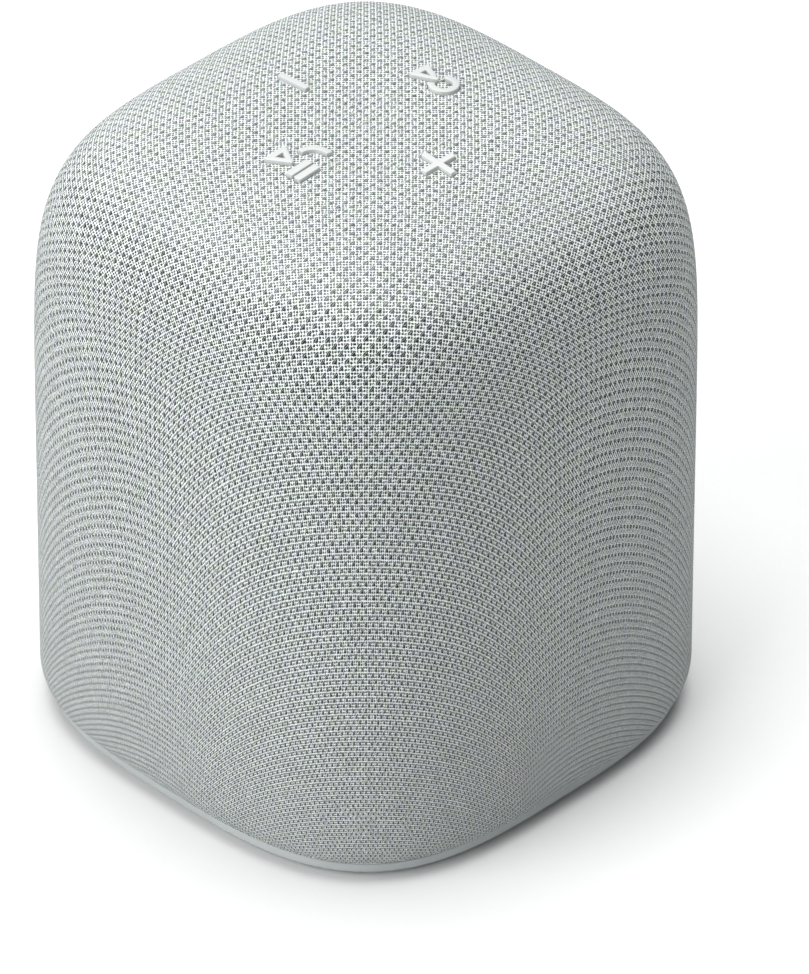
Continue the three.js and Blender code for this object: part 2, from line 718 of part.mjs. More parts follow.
function addWoofer() {
  const seat = gap + gasketThickness + gap; // behind the flange
  const front = seat + flangeThickness;
  const backPlate = -12;
  const plateTop = backPlate - 1 - gap;
  const plateBottom = plateTop - topPlateThickness;
  const magnetTop = plateBottom - gap;
  const magnetBottom = magnetTop - magnetThickness;
  const yokeTop = magnetBottom - gap;
  const yokeBottom = yokeTop - topPlateThickness;
  const coilInner = coilRadius - coilThickness / 2;
  const coilOuter = coilRadius + coilThickness / 2;
  const airGap = 0.4;
  const poleRadius = coilInner - airGap;
  const plateHole = coilOuter + airGap;
  const plateOuter = magnetRadius - 4;
  const screwHoles = fourCorners.map(([x, y]) => {
    const hole = disc(screwShank + gap, -1, front + 1, 8);
    return hole.translate([x * wooferScrewReach, y * wooferScrewReach, 0]);
  });

  const flange = roundedRectangle(2 * wooferFlangeHalf, 2 * wooferFlangeHalf, 6);
  const gasketPlate = extruded(flange, gap, gap + gasketThickness);
  const mouthHole = disc(basketMouth + gap, -1, front + 1, 28);
  add("woofer_gasket", onFront(cut(gasketPlate, mouthHole, ...screwHoles)), rubber);

  const wallFoot = basketMouth - 7.2;
  const bowl = ring([
    [basketMouth - 1, front],
    [basketMouth + 1, front],
    [basketMouth + 1, seat],
    [basketMouth, seat],
    [wallFoot + 1, backPlate + 2.5],
    [wallFoot + 1, backPlate - 1],
    [plateHole + 0.6, backPlate - 1],
    [plateHole + 0.6, backPlate],
    [wallFoot, backPlate],
    [wallFoot, backPlate + 3],
    [basketMouth - 1, seat],
  ], 28);
  const windows = [0, 90, 180, 270].map((angle) => {
    const window = block(13, 16, backPlate + 4, -0.8);
    return window.translate([0, wallFoot + 6, 0]).rotate([0, 0, angle]);
  });
  const flangePlate = cut(extruded(flange, seat, front), disc(basketMouth - 0.5, 0, front + 1, 28));
  const basket = cut(joined(bowl, flangePlate), ...windows, ...screwHoles);
  add("woofer_basket", onFront(basket), steel);

  const plate = ring([
    [plateHole, plateBottom], [plateOuter, plateBottom], [plateOuter, plateTop], [plateHole, plateTop],
  ]);
  add("woofer_top_plate", onFront(plate), steel);
  const magnet = ring([
    [plateHole + 1.6, magnetBottom],
    [magnetRadius, magnetBottom],
    [magnetRadius, magnetTop],
    [plateHole + 1.6, magnetTop],
  ]);
  add("woofer_magnet", onFront(magnet), ferrite);
  const yoke = spun([
    [0, yokeBottom],
    [magnetRadius - 1, yokeBottom],
    [magnetRadius - 1, yokeTop],
    [poleRadius, yokeTop],
    [poleRadius, plateTop],
    [0, plateTop],
  ]);
  add("woofer_yoke", onFront(yoke), steel);

  const neck = -5.6;
  const cone = spun([
    [0, -2.0],
    [coilInner, neck + 0.6],
    [coilInner, neck - 0.4],
    [coilOuter + 0.8, neck - 0.4],
    [coneRadius, 0.2],
    [coneRadius, 1.0],
    [coilOuter + 1.6, neck + 1.6],
    [coilRadius * 0.7, neck + 3.6],
    [coilRadius * 0.35, neck + 4.4],
    [0, neck + 4.6],
  ], 24);
  add("woofer_cone", onFront(cone), diaphragm);
  const coilTop = neck - 0.4 - gap;
  const coilBottom = plateBottom - coneTravel - 0.4;
  const coil = ring([
    [coilInner, coilBottom], [coilOuter, coilBottom], [coilOuter, coilTop], [coilInner, coilTop],
  ]);
  add("woofer_voice_coil", onFront(coil), copper);

  add("woofer_surround", onFront(halfRoll(coneRadius + gap, basketMouth - 1, 1.6, front + gap)), rubber);
  const spiderLevel = backPlate + 3.2;
  const waves = [0, 1, 2, 3, 4].map((i) => {
    const along = coilOuter + gap + (i / 4) * (wallFoot - coilOuter - 2 * gap);
    return [along, spiderLevel - (i % 2 ? 0 : 0.6)];
  });
  const upper = waves.map(([along, level]) => [along, level + 0.5]).reverse();
  const spider = ring([...waves, ...upper]);
  add("woofer_spider", onFront(spider), clothSpider);
}

// A rubber edge: a half-round roll between two radii with a flat lip outside it.
function halfRoll(inner, outer, lip, level) {
  const thickness = 0.6;
  const middle = (inner + outer) / 2;
  const roll = (outer - inner) / 2;
  const steps = 3;
  const above = [];
  const below = [];
  for (let i = 0; i <= steps; i += 1) {
    const turn = Math.PI * (1 - i / steps);
    above.push([middle + roll * Math.cos(turn), level + thickness + roll * Math.sin(turn)]);
    const small = roll - thickness;
    below.push([middle + small * Math.cos(turn), level + small * Math.sin(turn)]);
  }
  const edge = [[outer + lip, level + thickness], [outer + lip, level]];
  return ring([...above, ...edge, ...below.reverse(), [inner, level]], 20);
}

// ---------- Side radiators ----------

function addRadiator(name, side) {
  const frameTop = gap + 1.7;
  const frame = ring([
    [radiatorMouth, gap],
    [radiatorFrameRadius, gap],
    [radiatorFrameRadius, frameTop],
    [radiatorMouth, frameTop],
  ]);
  add(`${name}_radiator_frame`, onSide(frame, side), blackPlastic);
  const edge = halfRoll(radiatorPlateRadius + gap, radiatorMouth - 0.5, 2.4, frameTop + gap);
  add(`${name}_radiator_surround`, onSide(edge, side), rubber);
  const plateBack = 1.0;
  const weightRadius = 0.43 * radiatorPlateRadius;
  const plate = spun([
    [0, -1.6],
    [weightRadius, -1.6],
    [weightRadius, plateBack],
    [radiatorPlateRadius, plateBack],
    [radiatorPlateRadius, plateBack + radiatorPlateThickness],
    [0, plateBack + radiatorPlateThickness],
  ]);
  add(`${name}_radiator_plate`, onSide(plate, side), steel);
}

// ---------- Boards, battery and wiring ----------

function addMainBoard() {
  const top = mainBoardBottom + boardThickness;
  const board = extruded(roundedRectangle(...mainBoardSize, 3), mainBoardBottom, top);
  add("main_board", board, circuitBoard);
  const canTop = top + gap + 2.2;
  const can = extruded(roundedRectangle(mainBoardSize[0] - 16, 24, 1.5), top + gap, canTop);
  add("shield_can", can, steel);
  const side = mainBoardSize[0] - 4;
  const plate = extruded(roundedRectangle(side, side, 3), canTop + gap, canTop + gap + 1.2);
  add("heat_spreader", plate, aluminium);
}

function addChassis() {
  const slab = squared([
    [0, chassisBottom],
    [halfWidthAt(chassisTop, insideShell), chassisBottom],
    [halfWidthAt(chassisTop, insideShell), chassisTop],
    [0, chassisTop],
  ]);
  const legs = fourCorners.map(([x, y]) => {
    const leg = disc(legRadius, boxTop + gap, chassisBottom + 1, 10);
    return leg.translate([x * (boxHalf - legInset), y * legSpread, 0]);
  });
  const cablePass = block(8, 4, chassisBottom - 1, chassisTop + 1).translate([0, boardCableY, 0]);
  add("top_chassis", cut(joined(slab, ...legs), cablePass), blackPlastic);
}

function addKeyBoard() {
  const outline = [
    [0, keyBoardBottom],
    [keyBoardHalf, keyBoardBottom],
    [keyBoardHalf, keyBoardTop],
    [0, keyBoardTop],
  ];
  add("key_board", squared(outline, false, 28), circuitBoard);
  const onBoard = keyBoardTop + gap;
  const micReach = diagonalReach(keyBoardHalf - 8);
  const mic = () => extruded(roundedRectangle(3.5, 2.7, 0.4), onBoard, onBoard + 1, 1);
  add("left_microphone", mic().translate([-micReach, micReach, 0]), steel);
  add("right_microphone", mic().translate([micReach, -micReach, 0]), steel);
  const ledTop = onBoard + 0.8;
  add("status_led", block(3, 3, onBoard, ledTop), clearPlastic);
  const guideTop = bodyHeight - insideShell;
  const guide = spun([[0, ledTop + gap], [2, ledTop + gap], [4.5, guideTop], [0, guideTop]], 12);
  add("light_guide", guide, clearPlastic);
}

function addBattery() {
  const [width, depth, height] = batterySize;
  const bottom = baseTop + 2 * gap;
  const pack = extruded(roundedRectangle(width, depth, 3), bottom, bottom + height, 3);
  add("battery_pack", pack, cellWrap);
}

function addWiring() {
  const wire = 0.8;
  const boardTop = mainBoardBottom - gap - wire;
  const [x, y] = grommet;
  add("speaker_harness", tube([
    [x + 6, y + 6, boardTop],
    [x + 2, y + 1, boardTop - 0.4],
    [x, y, boxTop - 1],
    [x, y, boxTop - boxWall - 4],
    [x + 1, y + 2, boxTop - boxWall - 7.5],
  ], wire, 12), blackPlastic);
  const cable = 1.0;
  const behind = boxHalf + 3;
  const offBoard = portBoardY + boardThickness + gap + cable;
  add("battery_cable", tube([
    [13.6, offBoard, lidBottom - 5],
    [14.2, offBoard + 0.2, lidBottom - 1.5],
    [15, behind, lidBottom + 2],
    [15, behind, boxTop - 12],
    [15, behind, boxTop - 2],
    [15, behind - 3, boxTop + 3.5],
    [15, mainBoardSize[1] / 2 + 1.5, mainBoardBottom + 0.6],
  ], cable, 24), blackPlastic);
  add("key_board_cable", tube([
    [0, boardCableY, mainBoardBottom + boardThickness + gap],
    [0, boardCableY, mainBoardBottom + 6],
    [0, boardCableY, keyBoardBottom - gap],
  ], cable, 6), blackPlastic);
}

// ---------- Rear connections ----------

// Drawn in the panel's plane and stood up so that it runs from one Y to another, facing +Y.
function standing(shape, fromY, toY, x = 0, curveSegments = 3) {
  const prism = extruded(shape, -toY, -fromY, curveSegments);
  return prism.rotate([90, 0, 0]).translate([x, 0, portHeight]);
}

function round(radius) {
  return new THREE.Shape().absarc(0, 0, radius, 0, 2 * Math.PI, false);
}

function slotShape(width, height) {
  return roundedRectangle(width, height, height / 2 - 0.01);
}

function addRearConnections() {
  const flangeFront = faceAt(portPanelWidth / 2 + panelEar, insideShell);
  const flangeBack = flangeFront - 1.5;
  const body = standing(slotShape(portPanelWidth, portPanelHeight), flangeBack, panelFace);
  const flange = standing(slotShape(portPanelWidth + 2 * panelEar, portPanelHeight), flangeBack, flangeFront);
  const socketRoom = slotShape(socketWidth + 2 * gap, socketHeight + 2 * gap);
  const openings = [
    standing(socketRoom, flangeBack - 1, half + 1, socketX),
    standing(round(powerRadius + gap), flangeBack - 1, half + 1, powerX, 7),
  ];
  add("rear_port_panel", cut(joined(body, flange), ...openings), greyPlastic);

  const boardFront = portBoardY + boardThickness;
  const boardShape = roundedRectangle(portPanelWidth + 2 * portBoardMargin, 9.6, 1);
  const board = standing(boardShape, portBoardY, boardFront);
  add("port_board", board, circuitBoard);

  const mouth = panelFace - 0.8;
  const socketBack = boardFront + gap;
  const shellShape = slotShape(socketWidth, socketHeight);
  const inside = slotShape(socketWidth - 0.6, socketHeight - 0.6);
  const hollow = standing(inside, socketBack + 1.5, mouth + 1, socketX);
  const tongue = standing(roundedRectangle(6.7, 0.7, 0.2), socketBack + 1, mouth - 0.8, socketX, 1);
  const can = standing(shellShape, socketBack, mouth, socketX);
  add("usb_c_socket", joined(cut(can, hollow), tongue), steel);

  const switchFront = boardFront + gap + 2.8;
  const bore = standing(round(plungerRadius + gap), switchFront - 1.9, switchFront + 1, powerX, 5);
  const housing = standing(roundedRectangle(4.6, 4.6, 0.4), boardFront + gap, switchFront, powerX, 1);
  add("power_switch", cut(housing, bore), blackPlastic);

  const flangeRear = switchFront + powerTravel + gap;
  const stemEnd = switchFront - 1.9 + gap + powerTravel;
  const cap = standing(round(powerRadius), flangeRear, half - 0.1, powerX, 7);
  const collar = standing(round(powerRadius + 1), flangeRear, flangeBack - gap, powerX, 6);
  const stem = standing(round(plungerRadius), stemEnd, flangeRear + 0.5, powerX, 4);
  add("power_button", joined(cap, collar, stem), whitePlastic);
}

// ---------- Keys ----------

function addKey(name) {
  const [x, y] = keyPlaces[name];
  const flangeTop = keyFlangeTop();
  const flangeBottom = flangeTop - keyFlangeThickness;
  const pad = disc(keyFlangeRadius, flangeBottom, flangeTop).translate([x, y, 0]);
  const bossTop = heightAt(keyRing + keyBossRadius, shellOuter);
  const boss = disc(keyBossRadius, flangeBottom, bossTop).translate([x, y, 0]);
  const stem = disc(keyStemRadius, plungerTop + gap, flangeBottom + 0.5, 10).translate([x, y, 0]);
  add(`${name}_key`, joined(pad, boss, stem, ...raisedIcon(name)), whitePlastic);

  const plunger = disc(plungerRadius, switchTop - plungerSink, plungerTop, 8);
  add(`${name}_plunger`, plunger.translate([x, y, 0]), blackPlastic);

  const housing = extruded(roundedRectangle(switchSide, switchSide, 0.6), switchBottom, switchTop, 1);
  const boreBottom = switchTop - plungerSink - keyTravel - 2 * gap;
  const bore = disc(plungerRadius + gap, boreBottom, switchTop + 1, 8);
  add(`${name}_switch`, cut(housing, bore).translate([x, y, 0]), blackPlastic);
}

addFabricSleeve();
addGrilleShell();
addBase();
addFoot();
addScrews();
addAcousticBox();
addLid();
addWoofer();
addRadiator("left", -1);
addRadiator("right", 1);
addMainBoard();
addChassis();
addKeyBoard();
addBattery();
addWiring();
addRearConnections();
Object.keys(keyPlaces).forEach(addKey);

export default speaker;
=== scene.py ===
"""The looks of a fabric-covered smart speaker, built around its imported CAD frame.

Shapes are worked out in millimetres and scaled to metres as each mesh is made. +Z is up, the front
faces -Y, and the corner at (+X, -Y) is nearest the camera.
"""

import json
import math

import bmesh
import bpy
import numpy as np
from mathutils import Matrix, Vector


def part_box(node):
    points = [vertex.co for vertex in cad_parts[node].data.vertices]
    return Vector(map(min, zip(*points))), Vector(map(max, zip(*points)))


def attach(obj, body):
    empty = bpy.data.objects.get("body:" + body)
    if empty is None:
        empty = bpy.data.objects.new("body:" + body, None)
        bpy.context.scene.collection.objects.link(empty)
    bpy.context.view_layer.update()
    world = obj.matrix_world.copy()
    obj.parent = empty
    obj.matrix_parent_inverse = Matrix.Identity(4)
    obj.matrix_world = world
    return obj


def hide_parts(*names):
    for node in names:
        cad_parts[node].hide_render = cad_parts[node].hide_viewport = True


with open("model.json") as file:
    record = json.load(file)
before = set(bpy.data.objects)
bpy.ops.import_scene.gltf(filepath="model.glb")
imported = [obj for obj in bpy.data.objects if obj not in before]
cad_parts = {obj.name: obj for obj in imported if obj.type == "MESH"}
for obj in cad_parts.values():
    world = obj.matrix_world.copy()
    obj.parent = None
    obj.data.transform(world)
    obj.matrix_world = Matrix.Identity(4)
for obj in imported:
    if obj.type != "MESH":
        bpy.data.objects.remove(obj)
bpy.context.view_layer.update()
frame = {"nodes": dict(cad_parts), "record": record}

MM = 0.001
HOUSING = "housing"

# ---------- Sizes taken from the frame, in millimetres ----------


def corners(node):
    low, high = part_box(node)
    return np.array(low) / MM, np.array(high) / MM


def middle(node):
    low, high = corners(node)
    return (low + high) / 2


fabric_low, fabric_high = corners("fabric_sleeve")
foot_low, foot_high = corners("foot_ring")
cup_low, cup_high = corners("base_cup")
panel_low, panel_high = corners("rear_port_panel")
socket_low, socket_high = corners("usb_c_socket")
power_low, power_high = corners("power_button")

HALF = fabric_high[0]
CROWN = fabric_high[2]
HEM = fabric_low[2]
KEYS = ("play_call", "volume_up", "volume_down", "assistant")
KEY_PLACES = {key: middle(f"{key}_plunger")[:2] for key in KEYS}

# ---------- The outer form ----------

SIDE_SQUARENESS = 3.16
CROWN_SQUARENESS = 4.55
SHOULDER_POWER = 3.44
DOME_POWER = 8.77
BELT = 23.8  # the sides stand upright below this height
HEM_INSET = 1.9
HEM_RISE = 4.2
FABRIC = 0.9  # thickness of the sleeve
CLEAR = 0.3  # room left between neighbours
SHELL_INSIDE = 2.8  # how far in from the form the grille shell's inner face lies


def squareness(radius):
    return SIDE_SQUARENESS + (CROWN_SQUARENESS - SIDE_SQUARENESS) * (1 - radius / HALF)


def half_width(height, inset=0.0):
    """Half-width of the form at a height below the crown."""
    height = np.asarray(height, float)
    rise = np.clip((height - BELT) / (CROWN - inset - BELT), 0, 1)
    above = (HALF - inset) * (1 - rise**DOME_POWER) ** (1 / SHOULDER_POWER)
    up = np.clip((height - HEM) / HEM_RISE, 0, 1)
    below = HALF - inset - HEM_INSET * (1 - np.sqrt(1 - (1 - up) ** 2))
    return np.where(height > BELT, above, below)


def dome_height(x, y, inset=0.0):
    """Height of the form over points of the top."""
    x, y = np.abs(x) + 1e-9, np.abs(y) + 1e-9
    radius = np.hypot(x, y)
    for _ in range(5):
        n = squareness(radius)
        radius = (x**n + y**n) ** (1 / n)
    close = 1 - (radius / (HALF - inset)) ** SHOULDER_POWER
    return BELT + (CROWN - inset - BELT) * np.maximum(close, 0) ** (1 / DOME_POWER)


def section(radius, sectors, power=None):
    """Points evenly spaced round one level section, from the corner nearest the camera."""
    n = power or squareness(radius)
    angle = -math.pi / 4 + np.linspace(0, 2 * math.pi, 8 * sectors + 1)
    across = (np.abs(np.cos(angle)) ** n + np.abs(np.sin(angle)) ** n) ** (-1 / n)
    x, y = radius * across * np.cos(angle), radius * across * np.sin(angle)
    run = np.concatenate([[0], np.cumsum(np.hypot(np.diff(x), np.diff(y)))])
    at = np.linspace(0, run[-1], sectors + 1)[:-1]
    return np.column_stack([np.interp(at, run, x), np.interp(at, run, y)])


def form_profile(inset, spacing, low=None):
    """Distance run, half-width and height, evenly spaced from the apex down to a low edge."""
    low = HEM if low is None else low
    turn = np.linspace(math.pi / 2, 0, 6000)
    radius = (HALF - inset) * np.cos(turn) ** (2 / SHOULDER_POWER)
    height = BELT + (CROWN - inset - BELT) * np.sin(turn) ** (2 / DOME_POWER)
    radius[0] = 0
    lower = np.linspace(BELT, low, 600)[1:]
    radius = np.concatenate([radius, half_width(lower, inset)])
    height = np.concatenate([height, lower])
    run = np.concatenate([[0], np.cumsum(np.hypot(np.diff(radius), np.diff(height)))])
    at = np.linspace(0, run[-1], round(run[-1] / spacing) + 1)
    return at, np.interp(at, run, radius), np.interp(at, run, height)


# ---------- Mesh building ----------


def link(name, mesh, material=None):
    piece = bpy.data.objects.new(name, mesh)
    bpy.context.scene.collection.objects.link(piece)
    if material:
        mesh.materials.append(material)
    return piece


def mesh_of(name, points, faces, smooth=True):
    """A mesh from points in millimetres."""
    mesh = bpy.data.meshes.new(name)
    mesh.from_pydata((np.asarray(points) * MM).tolist(), [], faces)
    if smooth:
        mesh.shade_smooth()
    return mesh


def lofted(name, rings, material=None):
    """A closed skin through rings of equal length; a ring of one point closes an end."""
    points, starts = [], []
    for ring in rings:
        starts.append(len(points))
        points.extend(np.asarray(ring).tolist())
    faces = []
    for k in range(len(rings) - 1):
        a, b = starts[k], starts[k + 1]
        here, there = len(rings[k]), len(rings[k + 1])
        count = max(here, there)
        for i in range(count):
            j = (i + 1) % count
            if here == 1:
                faces.append((a, b + i, b + j))
            elif there == 1:
                faces.append((a + i, b, a + j))
            else:
                faces.append((a + i, b + i, b + j, a + j))
    if len(rings[0]) > 1 and len(rings[-1]) > 1:
        a, b, count = starts[-1], starts[0], len(rings[0])
        faces.extend((a + i, b + i, b + (i + 1) % count, a + (i + 1) % count) for i in range(count))
    mesh = mesh_of(name, points, faces)
    outward(mesh)
    return link(name, mesh, material)


def outward(mesh):
    work = bmesh.new()
    work.from_mesh(mesh)
    bmesh.ops.recalc_face_normals(work, faces=work.faces)
    work.to_mesh(mesh)
    work.free()


def ring_at(radius, height, sectors, round_section):
    if radius <= 1e-6:
        return [(0, 0, height)]
    level = section(radius, sectors, power=2 if round_section else None)
    return np.column_stack([level, np.full(len(level), height)])


def turned(name, profile, sectors=96, round_section=True, at=(0, 0, 0), material=None):
    """A profile of (radius, height) turned about Z, round or in the body's rounded square."""
    rings = [ring_at(radius, height, sectors, round_section) for radius, height in profile]
    piece = lofted(name, [np.asarray(ring) + np.array(at) for ring in rings], material)
    return piece


def eased(profile, radius, steps=3, closed=False):
    """The profile with its corners rounded; a point may hold its own radius as a third number."""
    points = [np.array(point[:2], float) for point in profile]
    radii = [point[2] if len(point) > 2 else radius for point in profile]
    result = []
    count = len(points)
    for i, (point, ease) in enumerate(zip(points, radii)):
        if not closed and i in (0, count - 1) or ease == 0:
            result.append(tuple(point))
            continue
        before, after = points[i - 1] - point, points[(i + 1) % count] - point
        reach = min(ease, 0.45 * np.linalg.norm(before), 0.45 * np.linalg.norm(after))
        start = point + before / np.linalg.norm(before) * reach
        end = point + after / np.linalg.norm(after) * reach
        for t in np.linspace(0, 1, steps + 1):
            result.append(tuple((1 - t) ** 2 * start + 2 * t * (1 - t) * point + t**2 * end))
    return result


def outline_solid(name, loops, low, high, grow=0.0, edge=0.0, material=None):
    """An upright solid on closed outlines, with rounded upper and lower edges."""
    curve = bpy.data.curves.new(name, "CURVE")
    curve.dimensions = "2D"
    curve.fill_mode = "BOTH"
    for loop in loops:
        spline = curve.splines.new("POLY")
        spline.points.add(len(loop) - 1)
        for point, (x, y) in zip(spline.points, loop):
            point.co = (x, y, 0, 1)
        spline.use_cyclic_u = True
    curve.extrude = (high - low) / 2 - edge
    curve.bevel_depth = edge
    curve.bevel_resolution = 3 if edge else 0
    curve.offset = grow - edge
    holder = bpy.data.objects.new(name, curve)
    bpy.context.scene.collection.objects.link(holder)
    bpy.context.view_layer.update()
    graph = bpy.context.evaluated_depsgraph_get()
    mesh = bpy.data.meshes.new_from_object(holder.evaluated_get(graph), depsgraph=graph)
    bpy.data.objects.remove(holder)
    bpy.data.curves.remove(curve)
    work = bmesh.new()
    work.from_mesh(mesh)
    bmesh.ops.remove_doubles(work, verts=work.verts, dist=1e-3)
    bmesh.ops.translate(work, verts=work.verts, vec=(0, 0, (low + high) / 2))
    bmesh.ops.scale(work, verts=work.verts, vec=(MM, MM, MM))
    bmesh.ops.recalc_face_normals(work, faces=work.faces)
    work.to_mesh(mesh)
    work.free()
    mesh.name = name
    mesh.materials.clear()
    return link(name, mesh, material)


def combined(piece, tools, operation):
    """The piece after a boolean with each tool; the tools are used up."""
    for tool in tools:
        modifier = piece.modifiers.new(operation, "BOOLEAN")
        modifier.operation = operation
        modifier.solver = "EXACT"
        modifier.object = tool
    graph = bpy.context.evaluated_depsgraph_get()
    result = bpy.data.meshes.new_from_object(piece.evaluated_get(graph), depsgraph=graph)
    old = piece.data
    piece.modifiers.clear()
    piece.data = result
    bpy.data.meshes.remove(old)
    for tool in tools:
        bpy.data.objects.remove(tool)
    return piece


def crisp(piece, angle=35):
    """Smooth shading that keeps real edges."""
    piece.data.shade_smooth()
    piece.data.set_sharp_from_angle(angle=math.radians(angle))
    return piece


def finished(piece, node, body=HOUSING):
    """The piece stands for a CAD node and its body."""
    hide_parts(node)
    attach(piece, body)
    return piece


# ---------- Shader arithmetic ----------


class Signal:
    """A number in a shader; arithmetic on it adds math nodes."""

    def __init__(self, tree, socket):
        self.tree = tree
        self.socket = socket

    def math(self, operation, *others):
        node = self.tree.nodes.new("ShaderNodeMath")
        node.operation = operation
        for port, value in zip(node.inputs, (self, *others)):
            if isinstance(value, Signal):
                self.tree.links.new(value.socket, port)
            else:
                port.default_value = value
        return Signal(self.tree, node.outputs[0])

    def __add__(self, other):
        return self.math("ADD", other)

    __radd__ = __add__

    def __sub__(self, other):
        return self.math("SUBTRACT", other)

    def __rsub__(self, other):
        return (self * -1) + other

    def __mul__(self, other):
        return self.math("MULTIPLY", other)

    __rmul__ = __mul__

    def cos(self):
        return self.math("COSINE")

    def highest(self, other):
        return self.math("MAXIMUM", other)

    def wrapped(self, low, high):
        return self.math("WRAP", high, low)

    def smooth(self, low, high):
        """0 below low and 1 above high, with a soft step between them."""
        node = self.tree.nodes.new("ShaderNodeMapRange")
        node.interpolation_type = "SMOOTHSTEP"
        self.tree.links.new(self.socket, node.inputs["Value"])
        node.inputs["From Min"].default_value = low
        node.inputs["From Max"].default_value = high
        return Signal(self.tree, node.outputs["Result"])


class Surface:
    """A material under construction."""

    def __init__(self, name, roughness=0.5, metallic=0.0):
        self.material = bpy.data.materials.new(name)
        self.material.use_nodes = True
        self.tree = self.material.node_tree
        self.shader = self.tree.nodes["Principled BSDF"]
        self.shader.inputs["Roughness"].default_value = roughness
        self.shader.inputs["Metallic"].default_value = metallic

    def coordinates(self, scale=(1, 1, 1)):
        """The row frame's metres, scaled along each axis."""
        source = self.tree.nodes.new("ShaderNodeTexCoord")
        mapping = self.tree.nodes.new("ShaderNodeMapping")
        mapping.inputs["Scale"].default_value = scale
        self.tree.links.new(source.outputs["Object"], mapping.inputs["Vector"])
        return mapping.outputs["Vector"]

    def noise(self, scale, detail=3.0, vector=None, stretch=(1, 1, 1), roughness=0.5):
        node = self.tree.nodes.new("ShaderNodeTexNoise")
        node.inputs["Scale"].default_value = scale
        node.inputs["Detail"].default_value = detail
        node.inputs["Roughness"].default_value = roughness
        self.tree.links.new(vector or self.coordinates(stretch), node.inputs["Vector"])
        return Signal(self.tree, node.outputs["Fac"])

    def waves(self, scale, axis, distortion=0.0):
        node = self.tree.nodes.new("ShaderNodeTexWave")
        node.bands_direction = axis
        node.inputs["Scale"].default_value = scale
        node.inputs["Distortion"].default_value = distortion
        self.tree.links.new(self.coordinates(), node.inputs["Vector"])
        return Signal(self.tree, node.outputs["Fac"])

    def cells(self, scale, feature="F1", stretch=(1, 1, 1)):
        node = self.tree.nodes.new("ShaderNodeTexVoronoi")
        node.feature = feature
        node.inputs["Scale"].default_value = scale
        self.tree.links.new(self.coordinates(stretch), node.inputs["Vector"])
        return Signal(self.tree, node.outputs["Distance"])

    def mixed(self, share, first, second):
        """A colour between two, which are plain colours or sockets."""
        node = self.tree.nodes.new("ShaderNodeMix")
        node.data_type = "RGBA"
        self.tree.links.new(share.socket, node.inputs["Factor"])
        for port, value in zip((node.inputs[6], node.inputs[7]), (first, second)):
            if isinstance(value, tuple):
                port.default_value = (*value, 1)
            else:
                self.tree.links.new(value, port)
        return node.outputs[2]

    def colour(self, socket):
        self.tree.links.new(socket, self.shader.inputs["Base Color"])

    def roughness(self, signal):
        self.tree.links.new(signal.socket, self.shader.inputs["Roughness"])

    def bump(self, height, distance, strength=1.0):
        """Relief with its depth in millimetres."""
        node = self.tree.nodes.new("ShaderNodeBump")
        node.inputs["Distance"].default_value = distance * MM
        node.inputs["Strength"].default_value = strength
        self.tree.links.new(height.socket, node.inputs["Height"])
        self.tree.links.new(node.outputs["Normal"], self.shader.inputs["Normal"])

    def set(self, **values):
        for name, value in values.items():
            self.shader.inputs[name.replace("_", " ")].default_value = value
        return self.material


def shade(colour, factor):
    return tuple(channel * factor for channel in colour)


# ---------- The woven cloth ----------

CLOTH_MAP = "Cloth"
BAKE_MAP = "OFBake"
YARN_U = 0.5375  # mm from yarn to yarn across the speaker's diagonal
YARN_V = 0.55  # and along the diagonal towards the camera
LIGHT_YARN = (0.900, 0.945, 0.935)
COOL_YARN = (0.75, 0.785, 0.87)
GREEN_YARN = (0.75, 0.85, 0.735)
# Near-black painted shade for the insides of the weave's holes and dashes.
HOLE_SHADE = (0.014, 0.020, 0.017)
STRAY = 0.35  # in yarns: how far patches of the weave wander
SWAY = 0.70  # in yarns: how far single yarns sway
DASH_ROW = 0.06  # in yarns: where the dark dashes lie across their diagonal
DASH_HALF_WIDTH, DASH_HALF_LENGTH = 0.88, 1.20
UPPER_FLOAT_ROW = 0.74  # above the dashes
LOWER_FLOAT_ROW = 0.04
UPPER_FLOAT_SHOWS, LOWER_FLOAT_SHOWS = 0.75, 0.58
TOP_LEVEL = (0.099, 0.106)  # metres up, where the cloth turns level and the painted hole shade turns a fifth lighter
